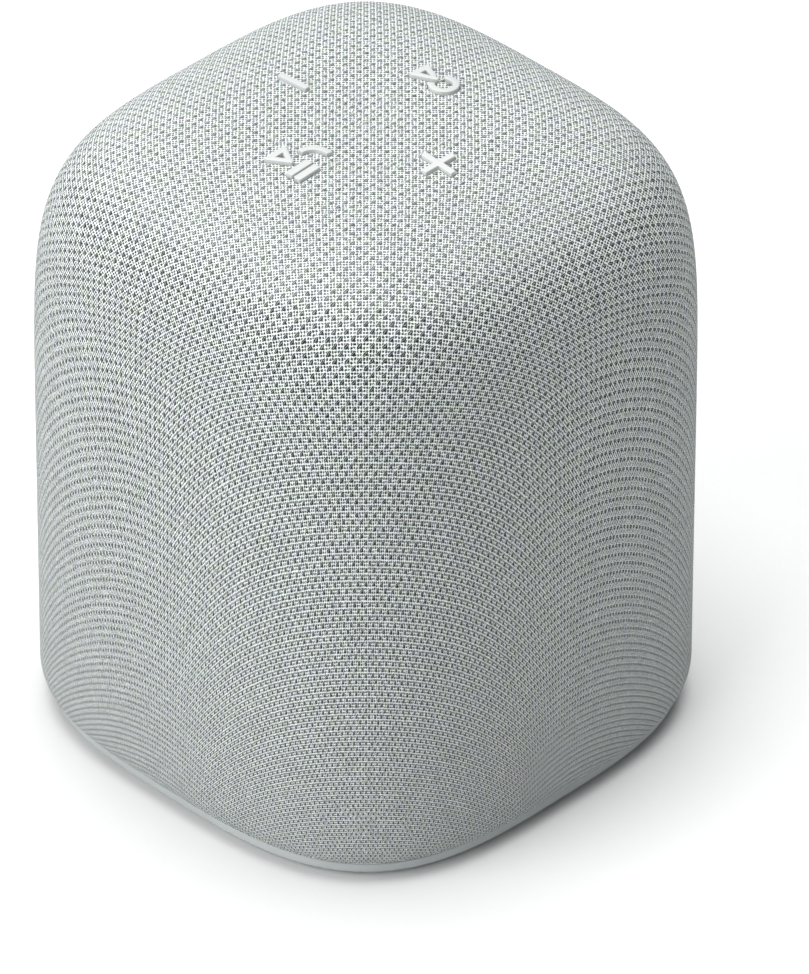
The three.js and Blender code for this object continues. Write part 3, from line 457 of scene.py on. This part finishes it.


def woven_cloth():
    """Yarns on a 4 by 4 repeat: dark dashes on a diagonal, a light float beside them, small holes. The
    dashes and holes are coloured with painted shade, and so are the hollows between yarns.
    """
    cloth = Surface("woven_cloth", roughness=0.9)
    uv = cloth.tree.nodes.new("ShaderNodeUVMap")
    uv.uv_map = CLOTH_MAP
    split = cloth.tree.nodes.new("ShaderNodeSeparateXYZ")
    cloth.tree.links.new(uv.outputs["UV"], split.inputs["Vector"])
    place = uv.outputs["UV"]
    wander = cloth.noise(0.45, 1.0, vector=place) - 0.5
    sideways = cloth.noise(1.15, 1.0, vector=place) - 0.5
    lengthways = cloth.noise(1.40, 1.0, vector=place) - 0.5
    u = Signal(cloth.tree, split.outputs["X"]) + wander * STRAY + sideways * SWAY
    v = Signal(cloth.tree, split.outputs["Y"]) - wander * STRAY + lengthways * SWAY

    turn = 2 * math.pi
    across_u = 0.5 - (u * turn).cos() * 0.5  # 1 midway between yarns
    across_v = 0.5 - (v * turn).cos() * 0.5
    row = (u + v).wrapped(-2, 2)
    along = (u - v).wrapped(-2, 2)

    dash_row, dash_along = (row - DASH_ROW) * (1 / DASH_HALF_WIDTH), along * (1 / DASH_HALF_LENGTH)
    dash = 1 - (dash_row * dash_row + dash_along * dash_along).smooth(0.75, 1.30)
    upper_row, lower_row = row + UPPER_FLOAT_ROW, row - LOWER_FLOAT_ROW
    upper_float = 1 - (upper_row * upper_row).smooth(0.002, 0.045)
    lower_float = 1 - (lower_row * lower_row).smooth(0.002, 0.030)
    lower_float = lower_float * (1 - (along * along).smooth(0.6, 1.8))
    light_float = (upper_float * UPPER_FLOAT_SHOWS).highest(lower_float * LOWER_FLOAT_SHOWS)
    loose = cloth.noise(0.55, 1.0, vector=place).smooth(0.30, 0.68)
    uneven = cloth.noise(1.7, 1.0, vector=place).smooth(0.28, 0.72)
    on_form = cloth.tree.nodes.new("ShaderNodeSeparateXYZ")
    cloth.tree.links.new(cloth.coordinates(), on_form.inputs["Vector"])
    flat_top = Signal(cloth.tree, on_form.outputs["Z"]).smooth(*TOP_LEVEL)
    # Where the holes and dashes lie: their colour is painted shade, their depth a real bump.
    dots = (across_u * across_v).smooth(0.06, 0.20)
    holes = (dots * (uneven * 0.45 + 0.68)).highest(dash * (loose * 0.20 + 0.95))
    # Yarn floats cover the holes; the painted hole shade is a fifth lighter where the cloth turns level
    # on top.
    holes = holes * (1 - light_float) * (1 - flat_top * 0.20)

    over = (u * math.pi).cos() * (v * math.pi).cos()
    yarn_u = (1 - across_u) * (over * 0.25 + 0.75)
    yarn_v = (1 - across_v) * (over * -0.25 + 0.75)
    relief = yarn_u.highest(yarn_v).highest(light_float * 1.05)

    tone = cloth.noise(0.9, 2.0, vector=place).smooth(0.35, 0.70)
    fibre = cloth.noise(2.6, 2.0, vector=place).smooth(0.30, 0.70)
    tint = cloth.noise(0.17, 2.0, vector=place).smooth(0.35, 0.65)
    yarn = cloth.mixed(tint, COOL_YARN, GREEN_YARN)
    yarn = cloth.mixed(tone, LIGHT_YARN, yarn)
    # Painted shade: the hollows between yarns are coloured darker.
    valley_shade = 1 - relief.smooth(0.18, 0.80)
    yarn = cloth.mixed(fibre * 0.12, yarn, shade(LIGHT_YARN, 0.45))
    yarn = cloth.mixed(valley_shade * 0.54, yarn, shade(LIGHT_YARN, 0.22))
    cloth.colour(cloth.mixed(holes, yarn, HOLE_SHADE))
    cloth.roughness(cloth.noise(2.0, 2.0, vector=place) * 0.15 + 0.80)
    cloth.bump(relief - holes * 0.9, 0.10, 0.8)
    return cloth.set(Sheen_Weight=0.06, Sheen_Roughness=0.5, Specular_IOR_Level=0.25)


# ---------- Moulded, metal and other materials ----------


def moulded(name, colour, roughness, grain=0.006, grain_scale=4500):
    """Moulded plastic: a fine spark-eroded grain, faint flow marks and an uneven sheen."""
    plastic = Surface(name)
    flow = plastic.noise(60, 4.0, stretch=(1, 1, 0.4))
    grain_noise = plastic.noise(grain_scale, 2.0)
    plastic.colour(plastic.mixed(flow.smooth(0.3, 0.7), shade(colour, 0.95), shade(colour, 1.03)))
    plastic.roughness(grain_noise * 0.10 + flow * 0.06 + (roughness - 0.08))
    plastic.bump(grain_noise + flow * 0.3, grain)
    return plastic.material


def rubbery(name, colour):
    rubber = Surface(name)
    dust = rubber.noise(220, 5.0)
    pits = rubber.noise(3000, 3.0)
    rubber.colour(rubber.mixed(dust.smooth(0.45, 0.8), colour, shade(colour, 1.5)))
    rubber.roughness(pits * 0.15 + 0.72)
    rubber.bump(pits, 0.02)
    return rubber.material


def metal(name, colour, roughness, stretch):
    """Plated or rolled metal with fine marks along one direction."""
    plate = Surface(name, metallic=1.0)
    marks = plate.noise(1, 5.0, stretch=stretch)
    cloud = plate.noise(90, 3.0)
    plate.colour(plate.mixed(marks, shade(colour, 0.86), shade(colour, 1.08)))
    plate.roughness(marks * 0.18 + cloud * 0.12 + (roughness - 0.12))
    plate.bump(marks, 0.004)
    return plate.material


def solder_mask():
    """A green board: darker ground, paler copper runs under the mask, small pads."""
    board = Surface("solder_mask")
    runs = board.cells(520, "DISTANCE_TO_EDGE", stretch=(1, 1, 0.02)).smooth(0.02, 0.06)
    pads = board.cells(380, "F1", stretch=(1, 1, 0.02)).smooth(0.10, 0.14)
    ground = board.mixed(runs, (0.035, 0.20, 0.10), (0.012, 0.105, 0.05))
    board.colour(board.mixed(pads, (0.62, 0.56, 0.40), ground))
    board.roughness(pads * 0.08 + board.noise(700, 2.0) * 0.1 + 0.27)
    board.bump(runs * -0.5 + pads * -0.4, 0.03)
    return board.set(Coat_Weight=0.3)


def wound_copper():
    coil = Surface("wound_copper", metallic=1.0)
    turns = coil.waves(1100, "Y", 0.4)
    coil.colour(coil.mixed(turns, (0.32, 0.10, 0.03), (0.78, 0.36, 0.16)))
    coil.roughness(turns * -0.15 + 0.42)
    coil.bump(turns, 0.08)
    return coil.material


def spider_cloth():
    """Impregnated open cloth: two crossed sets of threads."""
    cloth = Surface("spider_cloth", roughness=0.8)
    first, second = cloth.waves(420, "X", 0.6), cloth.waves(420, "Z", 0.6)
    threads = first.highest(second)
    cloth.colour(cloth.mixed(threads, (0.16, 0.09, 0.03), (0.56, 0.37, 0.13)))
    cloth.roughness(threads * 0.2 + 0.55)
    cloth.bump(threads, 0.08)
    return cloth.material


def coated_paper():
    paper = Surface("coated_paper")
    fibres = paper.noise(1500, 6.0, stretch=(1, 0.3, 1), roughness=0.7)
    blotch = paper.noise(160, 3.0)
    paper.colour(paper.mixed(fibres, (0.018, 0.018, 0.020), (0.055, 0.055, 0.060)))
    paper.roughness(fibres * 0.25 + blotch * 0.15 + 0.42)
    paper.bump(fibres, 0.03)
    return paper.material


def ferrite_block():
    ferrite = Surface("ferrite_block")
    grains = ferrite.cells(2600)
    ferrite.colour(ferrite.mixed(grains, (0.035, 0.035, 0.038), (0.075, 0.073, 0.072)))
    ferrite.roughness(grains * 0.25 + 0.55)
    ferrite.bump(grains, 0.02)
    return ferrite.material


def shrink_film():
    film = Surface("shrink_film")
    creases = film.noise(110, 2.0, stretch=(1, 1, 3))
    film.colour(film.mixed(creases.smooth(0.3, 0.7), (0.02, 0.10, 0.34), (0.03, 0.14, 0.44)))
    film.roughness(creases * 0.2 + 0.15)
    film.bump(creases, 0.15)
    return film.set(Coat_Weight=0.4)


def frosted():
    clear = Surface("frosted_clear")
    haze = clear.noise(2400, 3.0)
    clear.colour(clear.mixed(haze, (0.82, 0.84, 0.84), (0.93, 0.95, 0.95)))
    clear.roughness(haze * 0.2 + 0.3)
    clear.bump(haze, 0.01)
    return clear.set(Transmission_Weight=0.75, IOR=1.49)


def plated_contacts():
    return metal("plated_contacts", (0.86, 0.66, 0.30), 0.28, (900, 4000, 900))


materials = {
    "fabric": woven_cloth(),
    "white_plastic": moulded("white_plastic", (0.575, 0.595, 0.585), 0.42),
    "grey_plastic": moulded("grey_plastic", (0.42, 0.452, 0.452), 0.40),
    "black_plastic": moulded("black_plastic", (0.030, 0.031, 0.033), 0.55, 0.02, 2600),
    "rubber": rubbery("rubber", (0.040, 0.041, 0.043)),
    "steel": metal("steel", (0.60, 0.61, 0.62), 0.34, (600, 600, 9000)),
    "aluminium": metal("aluminium", (0.78, 0.79, 0.80), 0.36, (300, 7000, 300)),
    "ferrite": ferrite_block(),
    "circuit_board": solder_mask(),
    "diaphragm": coated_paper(),
    "copper": wound_copper(),
    "spider_cloth": spider_cloth(),
    "clear_plastic": frosted(),
    "cell_wrap": shrink_film(),
}

# ---------- Key symbols ----------

STROKE = 1.1
ICON_RISE = 0.67
ICON_EDGE = 0.16
ARC_STEPS = 40
CORNER_STEPS = 6
PLUS_EASE = 0.25
PLUS_INNER_EASE = 0.22  # more than the clearance of the opening that is cut round it
TRIANGLE_EASE, TRIANGLE_HOLE_EASE = 0.55, 0.12
TRIANGLE_SIDE_STROKES, TRIANGLE_TIP_STROKES = 1.5, 1.7  # from the outline to the hole in it
PAUSE_STROKE, PAUSE_LENGTH = 1.4, 4.6
PAUSE_STEP = 0.875  # from the middle of the pause sign to the middle of each bar
PAUSE_X, PAUSE_Y = 2.4, -0.7


def rectangle(width, height, x, y, ease=0.25):
    """A bar with rounded corners, counter-clockwise."""
    far = [(width / 2 - ease, height / 2 - ease, 0), (ease - width / 2, height / 2 - ease, 90),
           (ease - width / 2, ease - height / 2, 180), (width / 2 - ease, ease - height / 2, 270)]
    points = []
    for cx, cy, start in far:
        for step in range(CORNER_STEPS + 1):
            angle = math.radians(start + 90 / CORNER_STEPS * step)
            points.append((x + cx + ease * math.cos(angle), y + cy + ease * math.sin(angle)))
    return points


def polygon(corner_points, ease, x, y):
    loop = eased(corner_points, ease, steps=5, closed=True)
    return [(x + px, y + py) for px, py in loop]


def plus_sign(size, x, y):
    far, near = size / 2, STROKE / 2
    arms = []
    for quarter in range(4):
        c, s = round(math.cos(quarter * math.pi / 2)), round(math.sin(quarter * math.pi / 2))
        arm = ((near, near, PLUS_INNER_EASE), (near, far, PLUS_EASE), (-near, far, PLUS_EASE))
        for px, py, ease in arm:
            arms.append((px * c - py * s, px * s + py * c, ease))
    return polygon(arms, PLUS_EASE, x, y)


def triangle(depth, height, x, y):
    """A triangle pointing to +X, and the small one left open inside it."""
    back = -depth / 2
    outside = [(back, -height / 2), (depth / 2, 0), (back, height / 2)]
    inner = back + STROKE
    reach = (height / 2 - TRIANGLE_SIDE_STROKES * STROKE) * 0.9
    inside = [(inner, -reach), (inner, reach), (depth / 2 - TRIANGLE_TIP_STROKES * STROKE, 0)]
    return [polygon(outside, TRIANGLE_EASE, x, y), polygon(inside, TRIANGLE_HOLE_EASE, x, y)]


def broken_ring(outer, start, end, x, y):
    """Part of a ring, angles in half turns."""
    angles = np.linspace(start, end, ARC_STEPS) * math.pi
    far = [(outer * math.cos(a), outer * math.sin(a)) for a in angles]
    near = [((outer - STROKE) * math.cos(a), (outer - STROKE) * math.sin(a)) for a in angles[::-1]]
    return [(x + px, y + py) for px, py in far + near]


SYMBOLS = {
    "play_call": [
        triangle(4.3, 5.0, -2.0, -0.5),
        [rectangle(PAUSE_STROKE, PAUSE_LENGTH, PAUSE_X - PAUSE_STEP, PAUSE_Y)],
        [rectangle(PAUSE_STROKE, PAUSE_LENGTH, PAUSE_X + PAUSE_STEP, PAUSE_Y)],
        [broken_ring(3.5, 0.42, 1.0, 1.6, 2.3)],
    ],
    "volume_up": [[plus_sign(6.6, 0.5, 0)]],
    "volume_down": [[rectangle(6.2, STROKE, -0.5, 0)]],
    "assistant": [triangle(4.6, 4.6, -2.2, 0.7), [broken_ring(2.5, -0.80, 0.72, 1.25, 0.55)]],
}


def placed(loops, key):
    x, y = KEY_PLACES[key]
    return [[(px + x, py + y) for px, py in loop] for loop in loops]


def onto_dome(piece, above):
    """Upper points follow the dome, a height above it."""
    mesh = piece.data
    points = np.zeros(len(mesh.vertices) * 3)
    mesh.vertices.foreach_get("co", points)
    points = points.reshape(-1, 3) / MM
    top = points[:, 2].max()
    upper = points[:, 2] > top - 2 * ICON_EDGE
    rise = dome_height(points[upper, 0], points[upper, 1]) + above - top
    points[upper, 2] += rise
    mesh.vertices.foreach_set("co", (points * MM).ravel())
    mesh.update()
    return piece


# ---------- Pieces ----------

SECTORS = 448
CLOTH_SPACING = 0.74
OPENING = 0.12  # clearance of the cloth round what comes through it
# How much cloth lies along each millimetre of the form, by distance from the apex.
CLOTH_RUN = (0, 25, 50, 78, 92, 105, 120, 141.5)
CLOTH_SHARE = (1.0, 0.985, 0.90, 0.825, 0.85, 0.94, 1.12, 1.60)
STRAIGHT_CLOTH = 18.0  # the yarns run straight this far from the apex
POLAR_CLOTH = 62.0  # and fan out evenly round the form from here
CROWN_EASE = 9.8  # cloth taken up over the crown before it fans out
HEM_ROLL = 6  # steps round the hem's fold
BACK_SPACING = 5.0
BAKE_MARGIN = 1.01
BACK_PLACE, BACK_SPREAD = 0.08, 0.075  # where the cloth's back lies in the bake map
OPENING_DEPTH, OPENING_RISE = 6, 2
HARD_EDGE = 50  # degrees


def cloth_distance(run):
    """Distance from the apex along the flat cloth, for distances down the form."""
    fine = np.linspace(0, 160, 3201)
    share = np.interp(fine, CLOTH_RUN, CLOTH_SHARE)
    total = np.concatenate([[0], np.cumsum((share[1:] + share[:-1]) / 2 * np.diff(fine))])
    return np.interp(run, fine, total)


def fabric_cover():
    roll = FABRIC / 2
    run, radius, height = form_profile(0, CLOTH_SPACING, HEM + roll)
    edge_radius, edge_run = radius[-1], run[-1]
    for k in range(1, HEM_ROLL):
        angle = math.pi * k / HEM_ROLL
        radius = np.append(radius, edge_radius - roll * (1 - math.cos(angle)))
        height = np.append(height, HEM + roll - roll * math.sin(angle))
        run = np.append(run, edge_run + roll * angle)
    outer_count = len(radius)
    back_run, back_radius, back_height = form_profile(FABRIC, BACK_SPACING, HEM + roll)
    radius = np.append(radius, back_radius[::-1])
    height = np.append(height, back_height[::-1])
    run = np.append(run, run[-1] + back_run[-1] - back_run[::-1])

    rings = [ring_at(r, z, SECTORS, False) for r, z in zip(radius, height)]
    piece = lofted("fabric_cover", rings, materials["fabric"])

    distance = cloth_distance(run)
    turn = 2 * math.pi * np.arange(SECTORS) / SECTORS
    flat, bake = [], []
    widest = distance[outer_count - 1] * BAKE_MARGIN
    inner_scale = BACK_SPREAD / back_run[-1]
    for k, ring in enumerate(rings):
        angle = turn if len(ring) > 1 else np.zeros(1)
        direction = np.column_stack([np.sin(angle), np.cos(angle)])
        x, y = np.asarray(ring)[:, 0], np.asarray(ring)[:, 1]
        straight = np.column_stack([x + y, x - y]) / math.sqrt(2)
        share = np.clip((run[k] - STRAIGHT_CLOTH) / (POLAR_CLOTH - STRAIGHT_CLOTH), 0, 1)
        share = share * share * (3 - 2 * share)
        spread = (1 - share) * straight + share * direction * (distance[k] + CROWN_EASE)
        flat.append(spread / (YARN_U, YARN_V))
        if k < outer_count:
            bake.append(0.5 + direction * 0.5 * distance[k] / widest)
        else:
            back = back_run[::-1][k - outer_count]
            bake.append(BACK_PLACE + direction * back * inner_scale)
    loops = np.zeros(len(piece.data.loops), np.int64)
    piece.data.loops.foreach_get("vertex_index", loops)
    for name, values in ((CLOTH_MAP, np.concatenate(flat)), (BAKE_MAP, np.concatenate(bake))):
        layer = piece.data.uv_layers.new(name=name)
        layer.uv.foreach_set("vector", values[loops].astype(np.float32).ravel())

    cutters = []
    for key, symbol in SYMBOLS.items():
        for loops_of_part in symbol:
            outline = placed(loops_of_part, key)[:1]
            cutters.append(outline_solid("opening", outline, CROWN - OPENING_DEPTH, CROWN + OPENING_RISE,
                                         grow=OPENING))
    cutters.append(rear_opening(OPENING + 0.1))
    combined(piece, cutters, "DIFFERENCE")
    crisp(piece, HARD_EDGE)
    finished(piece, "fabric_sleeve")
    return piece


def slot_loop(width, height, x=0.0, y=0.0):
    return rectangle(width, height, x, y, ease=height / 2 - 0.01)


def stood(piece, x, y, z):
    """A piece drawn flat, stood up to face +Y with its drawing's +Z towards the back."""
    piece.data.transform(Matrix.Rotation(math.radians(-90), 4, "X"))
    piece.data.transform(Matrix.Translation(Vector((x, y, z)) * MM))
    return piece


PANEL_HEIGHT = panel_high[2] - panel_low[2]
PANEL_MIDDLE = (panel_high[2] + panel_low[2]) / 2
PANEL_EAR = 3.0
PANEL_WIDTH = panel_high[0] - panel_low[0] - 2 * PANEL_EAR
PANEL_FLANGE = 1.5


def rear_opening(clearance):
    loop = slot_loop(PANEL_WIDTH + 2 * clearance, PANEL_HEIGHT + 2 * clearance)
    return stood(outline_solid("rear_opening", [loop], -12, 5), 0, HALF, PANEL_MIDDLE)


BOSS_STEP = 1.5
KEY_STEM_RADIUS = 2.0
KEY_FLANGE = 1.2


def key_caps():
    for key in KEYS:
        low, _ = corners(f"{key}_key")
        x, y = KEY_PLACES[key]
        flange_radius = x - low[0]
        boss_radius = flange_radius - BOSS_STEP
        reach = abs(x) + abs(y)
        flange_low = dome_height(0, reach + flange_radius, SHELL_INSIDE) - CLEAR - KEY_FLANGE
        flange_high = flange_low + KEY_FLANGE
        boss_high = dome_height(0, reach + boss_radius, FABRIC + CLEAR)
        profile = eased([(0, low[2]), (KEY_STEM_RADIUS, low[2]), (KEY_STEM_RADIUS, flange_low, 0.4),
                         (flange_radius, flange_low), (flange_radius, flange_high),
                         (boss_radius, flange_high), (boss_radius, boss_high), (0, boss_high)], 0.2)
        piece = turned(f"{key}_cap", profile, 72, at=(x, y, 0), material=materials["white_plastic"])
        parts = []
        for loops in SYMBOLS[key]:
            solid = outline_solid("symbol", placed(loops, key), flange_high, CROWN, edge=ICON_EDGE)
            parts.append(onto_dome(solid, ICON_RISE))
        combined(piece, parts, "UNION")
        crisp(piece)
        finished(piece, f"{key}_key", f"{key}_button")


BASE_SECTORS = 256
SEAM_SHADOW = 0.2  # the band's edge stands this much further below the hem
FOOT_WIDTH = 7.0
FOOT_EDGE = 0.7
CUP_WALL = 2.0
CUP_FLOOR = 3.0
POST_RADIUS = 4
POST_SECTORS = 48
SCREW_HEAD_RADIUS, SCREW_HEAD_DEPTH = 2.8, 2.1  # the room round a base screw's head
SCREW_SHANK_RADIUS = 1.55
NOTCH_MORE, NOTCH_DEPTH = 12, 20  # how much wider than the panel the rim's notch is, and how deep


def base_band():
    lift, rim_top = cup_low[2], cup_high[2]
    band = float(half_width(HEM))
    step = HEM - CLEAR - SEAM_SHADOW
    inside = SHELL_INSIDE + CLEAR
    rim, wall, floor_top = HALF - inside, CUP_WALL, cup_low[2] + CUP_FLOOR
    shoulder = HEM + HEM_RISE
    profile = eased([
        (0, lift), (band - 0.1, lift, 0.6), (band, step, 0.25),
        (float(half_width(HEM, inside)), step, 0.2),
        (float(half_width(HEM + HEM_RISE / 3, inside)), HEM + HEM_RISE / 3, 0.5),
        (rim, shoulder, 0.8), (rim, rim_top, 0.3), (rim - wall, rim_top, 0.3),
        (rim - wall, shoulder, 0.8), (rim - wall - HEM_INSET, floor_top, 1.0), (0, floor_top),
    ], 0.2, steps=4)
    piece = turned("base_band", profile, BASE_SECTORS, False, material=materials["grey_plastic"])
    outer = foot_high[0] + CLEAR
    inner = foot_high[0] - FOOT_WIDTH - CLEAR
    ceiling = foot_high[2] + CLEAR
    groove = turned("groove", [(outer, lift - 1), (outer, ceiling), (inner, ceiling), (inner, lift - 1)],
                    BASE_SECTORS, False)
    cutters, posts = [groove], []
    lid_low = corners("acoustic_lid")[0][2]
    for k in range(1, 5):
        x, y, _ = middle(f"base_screw_{k}")
        head_low = corners(f"base_screw_{k}")[0][2]
        posts.append(turned("post", [(0, floor_top - 1), (POST_RADIUS, floor_top - 1),
                                     (POST_RADIUS, lid_low - CLEAR), (0, lid_low - CLEAR)],
                            POST_SECTORS, at=(x, y, 0)))
        head_radius, head_top = SCREW_HEAD_RADIUS, head_low + SCREW_HEAD_DEPTH
        cutters.append(turned("head_room", [(0, lift), (head_radius, lift), (head_radius, head_top),
                                            (SCREW_SHANK_RADIUS, head_top), (SCREW_SHANK_RADIUS, lid_low),
                                            (0, lid_low)],
                              POST_SECTORS, at=(x, y, 0)))
    notch_low = PANEL_MIDDLE - PANEL_HEIGHT / 2 - 1
    notch = rectangle(PANEL_WIDTH + NOTCH_MORE, NOTCH_DEPTH, 0, HALF, ease=0.5)
    cutters.append(outline_solid("notch", [notch], notch_low, rim_top + 1))
    combined(piece, posts, "UNION")
    combined(piece, cutters, "DIFFERENCE")
    crisp(piece, 30)
    finished(piece, "base_cup")


def foot():
    outer, top = foot_high[0], foot_high[2]
    inner = outer - FOOT_WIDTH
    profile = eased([(inner, 0, FOOT_EDGE), (outer, 0, FOOT_EDGE), (outer, top), (inner, top)],
                    0.15, steps=5, closed=True)
    piece = turned("foot_pad", profile, BASE_SECTORS, False, material=materials["rubber"])
    crisp(piece, 30)
    finished(piece, "foot_ring")


SOCKET_WALL = 0.3
TONGUE = (6.7, 0.7)
PIN_COUNT, PIN_PITCH = 12, 0.5  # on each side of the tongue
PIN_SIZE = (0.25, 0.08)
PIN_FROM_MIDDLE = 0.36
POWER_STEM_RADIUS = 1.1
POWER_DEPTH = 5.7  # from the button's face to the back of its collar


def rear_connections():
    low, high = panel_low, panel_high
    flange_back = low[1]
    face = high[1]
    socket_x = (socket_low[0] + socket_high[0]) / 2
    socket_width = socket_high[0] - socket_low[0]
    socket_height = socket_high[2] - socket_low[2]
    power_x = (power_low[0] + power_high[0]) / 2
    collar_radius = (power_high[0] - power_low[0]) / 2
    power_radius = collar_radius - 1

    face_loop = slot_loop(PANEL_WIDTH, PANEL_HEIGHT)
    body = stood(outline_solid("rear_panel", [face_loop], flange_back, face, edge=0.3,
                               material=materials["grey_plastic"]), 0, 0, PANEL_MIDDLE)
    flange_loop = slot_loop(PANEL_WIDTH + 2 * PANEL_EAR, PANEL_HEIGHT)
    flange = stood(outline_solid("flange", [flange_loop], flange_back, flange_back + PANEL_FLANGE,
                                 edge=0.15), 0, 0, PANEL_MIDDLE)
    combined(body, [flange], "UNION")
    socket_loop = slot_loop(socket_width + 2 * CLEAR, socket_height + 2 * CLEAR, socket_x)
    room = stood(outline_solid("socket_room", [socket_loop], flange_back - 1, face + 1),
                 0, 0, PANEL_MIDDLE)
    hole_radius = power_radius + CLEAR
    hole_profile = [(0, flange_back - 1), (hole_radius, flange_back - 1), (hole_radius, face - 0.25),
                    (hole_radius + 0.5, face + 0.25), (0, face + 1)]
    hole = stood(turned("power_hole", hole_profile, 64, at=(power_x, 0, 0)), 0, 0, PANEL_MIDDLE)
    combined(body, [room, hole], "DIFFERENCE")
    crisp(body, 30)
    finished(body, "rear_port_panel")

    back, mouth = socket_low[1], socket_high[1]
    shell = stood(outline_solid("usb_c_shell", [slot_loop(socket_width, socket_height, socket_x)],
                                back, mouth, edge=0.08, material=materials["steel"]), 0, 0, PANEL_MIDDLE)
    hollow_loop = slot_loop(socket_width - 2 * SOCKET_WALL, socket_height - 2 * SOCKET_WALL, socket_x)
    hollow = stood(outline_solid("hollow", [hollow_loop], back + 1.5, mouth + 1), 0, 0, PANEL_MIDDLE)
    combined(shell, [hollow], "DIFFERENCE")
    crisp(shell, 30)
    finished(shell, "usb_c_socket")
    tongue_loop = rectangle(*TONGUE, socket_x, 0, ease=0.15)
    tongue = stood(outline_solid("usb_c_tongue", [tongue_loop], back + 1, mouth - 0.8, edge=0.08,
                                 material=materials["black_plastic"]), 0, 0, PANEL_MIDDLE)
    crisp(tongue, 30)
    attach(tongue, HOUSING)
    contacts = []
    for k in range(PIN_COUNT):
        x = socket_x + (k - (PIN_COUNT - 1) / 2) * PIN_PITCH
        for side in (-1, 1):
            contacts.append(rectangle(*PIN_SIZE, x, side * PIN_FROM_MIDDLE, ease=0.02))
    pins = stood(outline_solid("usb_c_contacts", contacts, back + 1.8, mouth - 1.3,
                               material=plated_contacts()), 0, 0, PANEL_MIDDLE)
    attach(pins, HOUSING)

    stem_end, cap_face = power_low[1], power_high[1]
    collar_back = cap_face - POWER_DEPTH
    collar_front = flange_back - CLEAR
    profile = eased([(0, stem_end), (POWER_STEM_RADIUS, stem_end), (POWER_STEM_RADIUS, collar_back, 0.15),
                     (collar_radius, collar_back), (collar_radius, collar_front),
                     (power_radius, collar_front), (power_radius, cap_face, 0.35),
                     (power_radius - 0.9, cap_face, 0.3), (power_radius - 1.2, cap_face - 0.12, 0.3),
                     (0, cap_face - 0.15)], 0.12, steps=4)
    button = stood(turned("power_cap", profile, 72, at=(power_x, 0, 0),
                          material=materials["white_plastic"]), 0, 0, PANEL_MIDDLE)
    crisp(button, 35)
    finished(button, "power_button", "power_push")


NODE_EDGE = 0.15
NODE_EDGE_ANGLE = 40


def dress_nodes():
    """The frame's own nodes: a material by slot, and eased edges."""
    slots = {part["node"]: part["material_slot"] for part in frame["record"]["subparts"]}
    for name, node in frame["nodes"].items():
        if node.hide_render:
            continue
        node.data.materials.clear()
        node.data.materials.append(materials[slots[name]])
        ease = node.modifiers.new("eased_edges", "BEVEL")
        ease.width = NODE_EDGE * MM
        ease.segments = 2
        ease.limit_method = "ANGLE"
        ease.angle_limit = math.radians(NODE_EDGE_ANGLE)


# ---------- Floor, lights and camera ----------


FLOOR_HALF = 4000.0
FLOOR_STEPS = 8


def stage_floor():
    paper = Surface("studio_paper")
    fibres = paper.noise(900, 4.0)
    paper.colour(paper.mixed(fibres, (0.83, 0.83, 0.83), (0.85, 0.85, 0.85)))
    paper.roughness(fibres * 0.1 + 0.8)
    grid = np.linspace(-FLOOR_HALF, FLOOR_HALF, FLOOR_STEPS + 1)
    points = [(x, y, foot_low[2]) for y in grid for x in grid]
    row = FLOOR_STEPS + 1
    faces = [(j * row + i, j * row + i + 1, (j + 1) * row + i + 1, (j + 1) * row + i)
             for j in range(FLOOR_STEPS) for i in range(FLOOR_STEPS)]
    link("studio_floor", mesh_of("studio_floor", points, faces), paper.material)


def area_light(name, place, target, size, power):
    lamp = bpy.data.lights.new(name, "AREA")
    lamp.shape = "DISK"
    lamp.size = size
    lamp.energy = power
    holder = bpy.data.objects.new(name, lamp)
    bpy.context.scene.collection.objects.link(holder)
    holder.location = place
    holder.rotation_euler = (Vector(target) - Vector(place)).to_track_quat("-Z", "Y").to_euler()


def studio_light():
    world = bpy.data.worlds.new("studio")
    bpy.context.scene.world = world
    world.use_nodes = True
    background = world.node_tree.nodes["Background"]
    background.inputs["Color"].default_value = (0.97, 0.985, 1.0, 1)
    background.inputs["Strength"].default_value = 0.20
    aim = (0, 0, 0.05)
    area_light("softbox_left", (-0.25, -1.49, 0.875), aim, size=1.8, power=27)
    area_light("softbox_top", (-0.15, 0.15, 1.75), aim, size=1.6, power=36)


CAMERA_TARGET = (0, 0, 0.03945)
CAMERA_AZIMUTH = 45.0
CAMERA_PITCH = 36.323
CAMERA_DISTANCE = 1.9065
CAMERA_LENS = 443.74
CAMERA_SHIFT = 0.0397


def studio_camera():
    lens = bpy.data.cameras.new("camera")
    lens.lens = CAMERA_LENS
    lens.sensor_width = 36
    lens.shift_x = CAMERA_SHIFT
    lens.clip_end = 50
    holder = bpy.data.objects.new("camera", lens)
    bpy.context.scene.collection.objects.link(holder)
    azimuth, pitch = math.radians(CAMERA_AZIMUTH), math.radians(CAMERA_PITCH)
    level = math.cos(pitch)
    back = Vector((math.sin(azimuth) * level, -math.cos(azimuth) * level, math.sin(pitch)))
    holder.location = Vector(CAMERA_TARGET) + back * CAMERA_DISTANCE
    holder.rotation_euler = (-back).to_track_quat("-Z", "Y").to_euler()
    bpy.context.scene.camera = holder
    bpy.context.scene.view_settings.view_transform = "Standard"


studio_camera()
studio_light()
stage_floor()
fabric_cover()
key_caps()
base_band()
foot()
rear_connections()
dress_nodes()
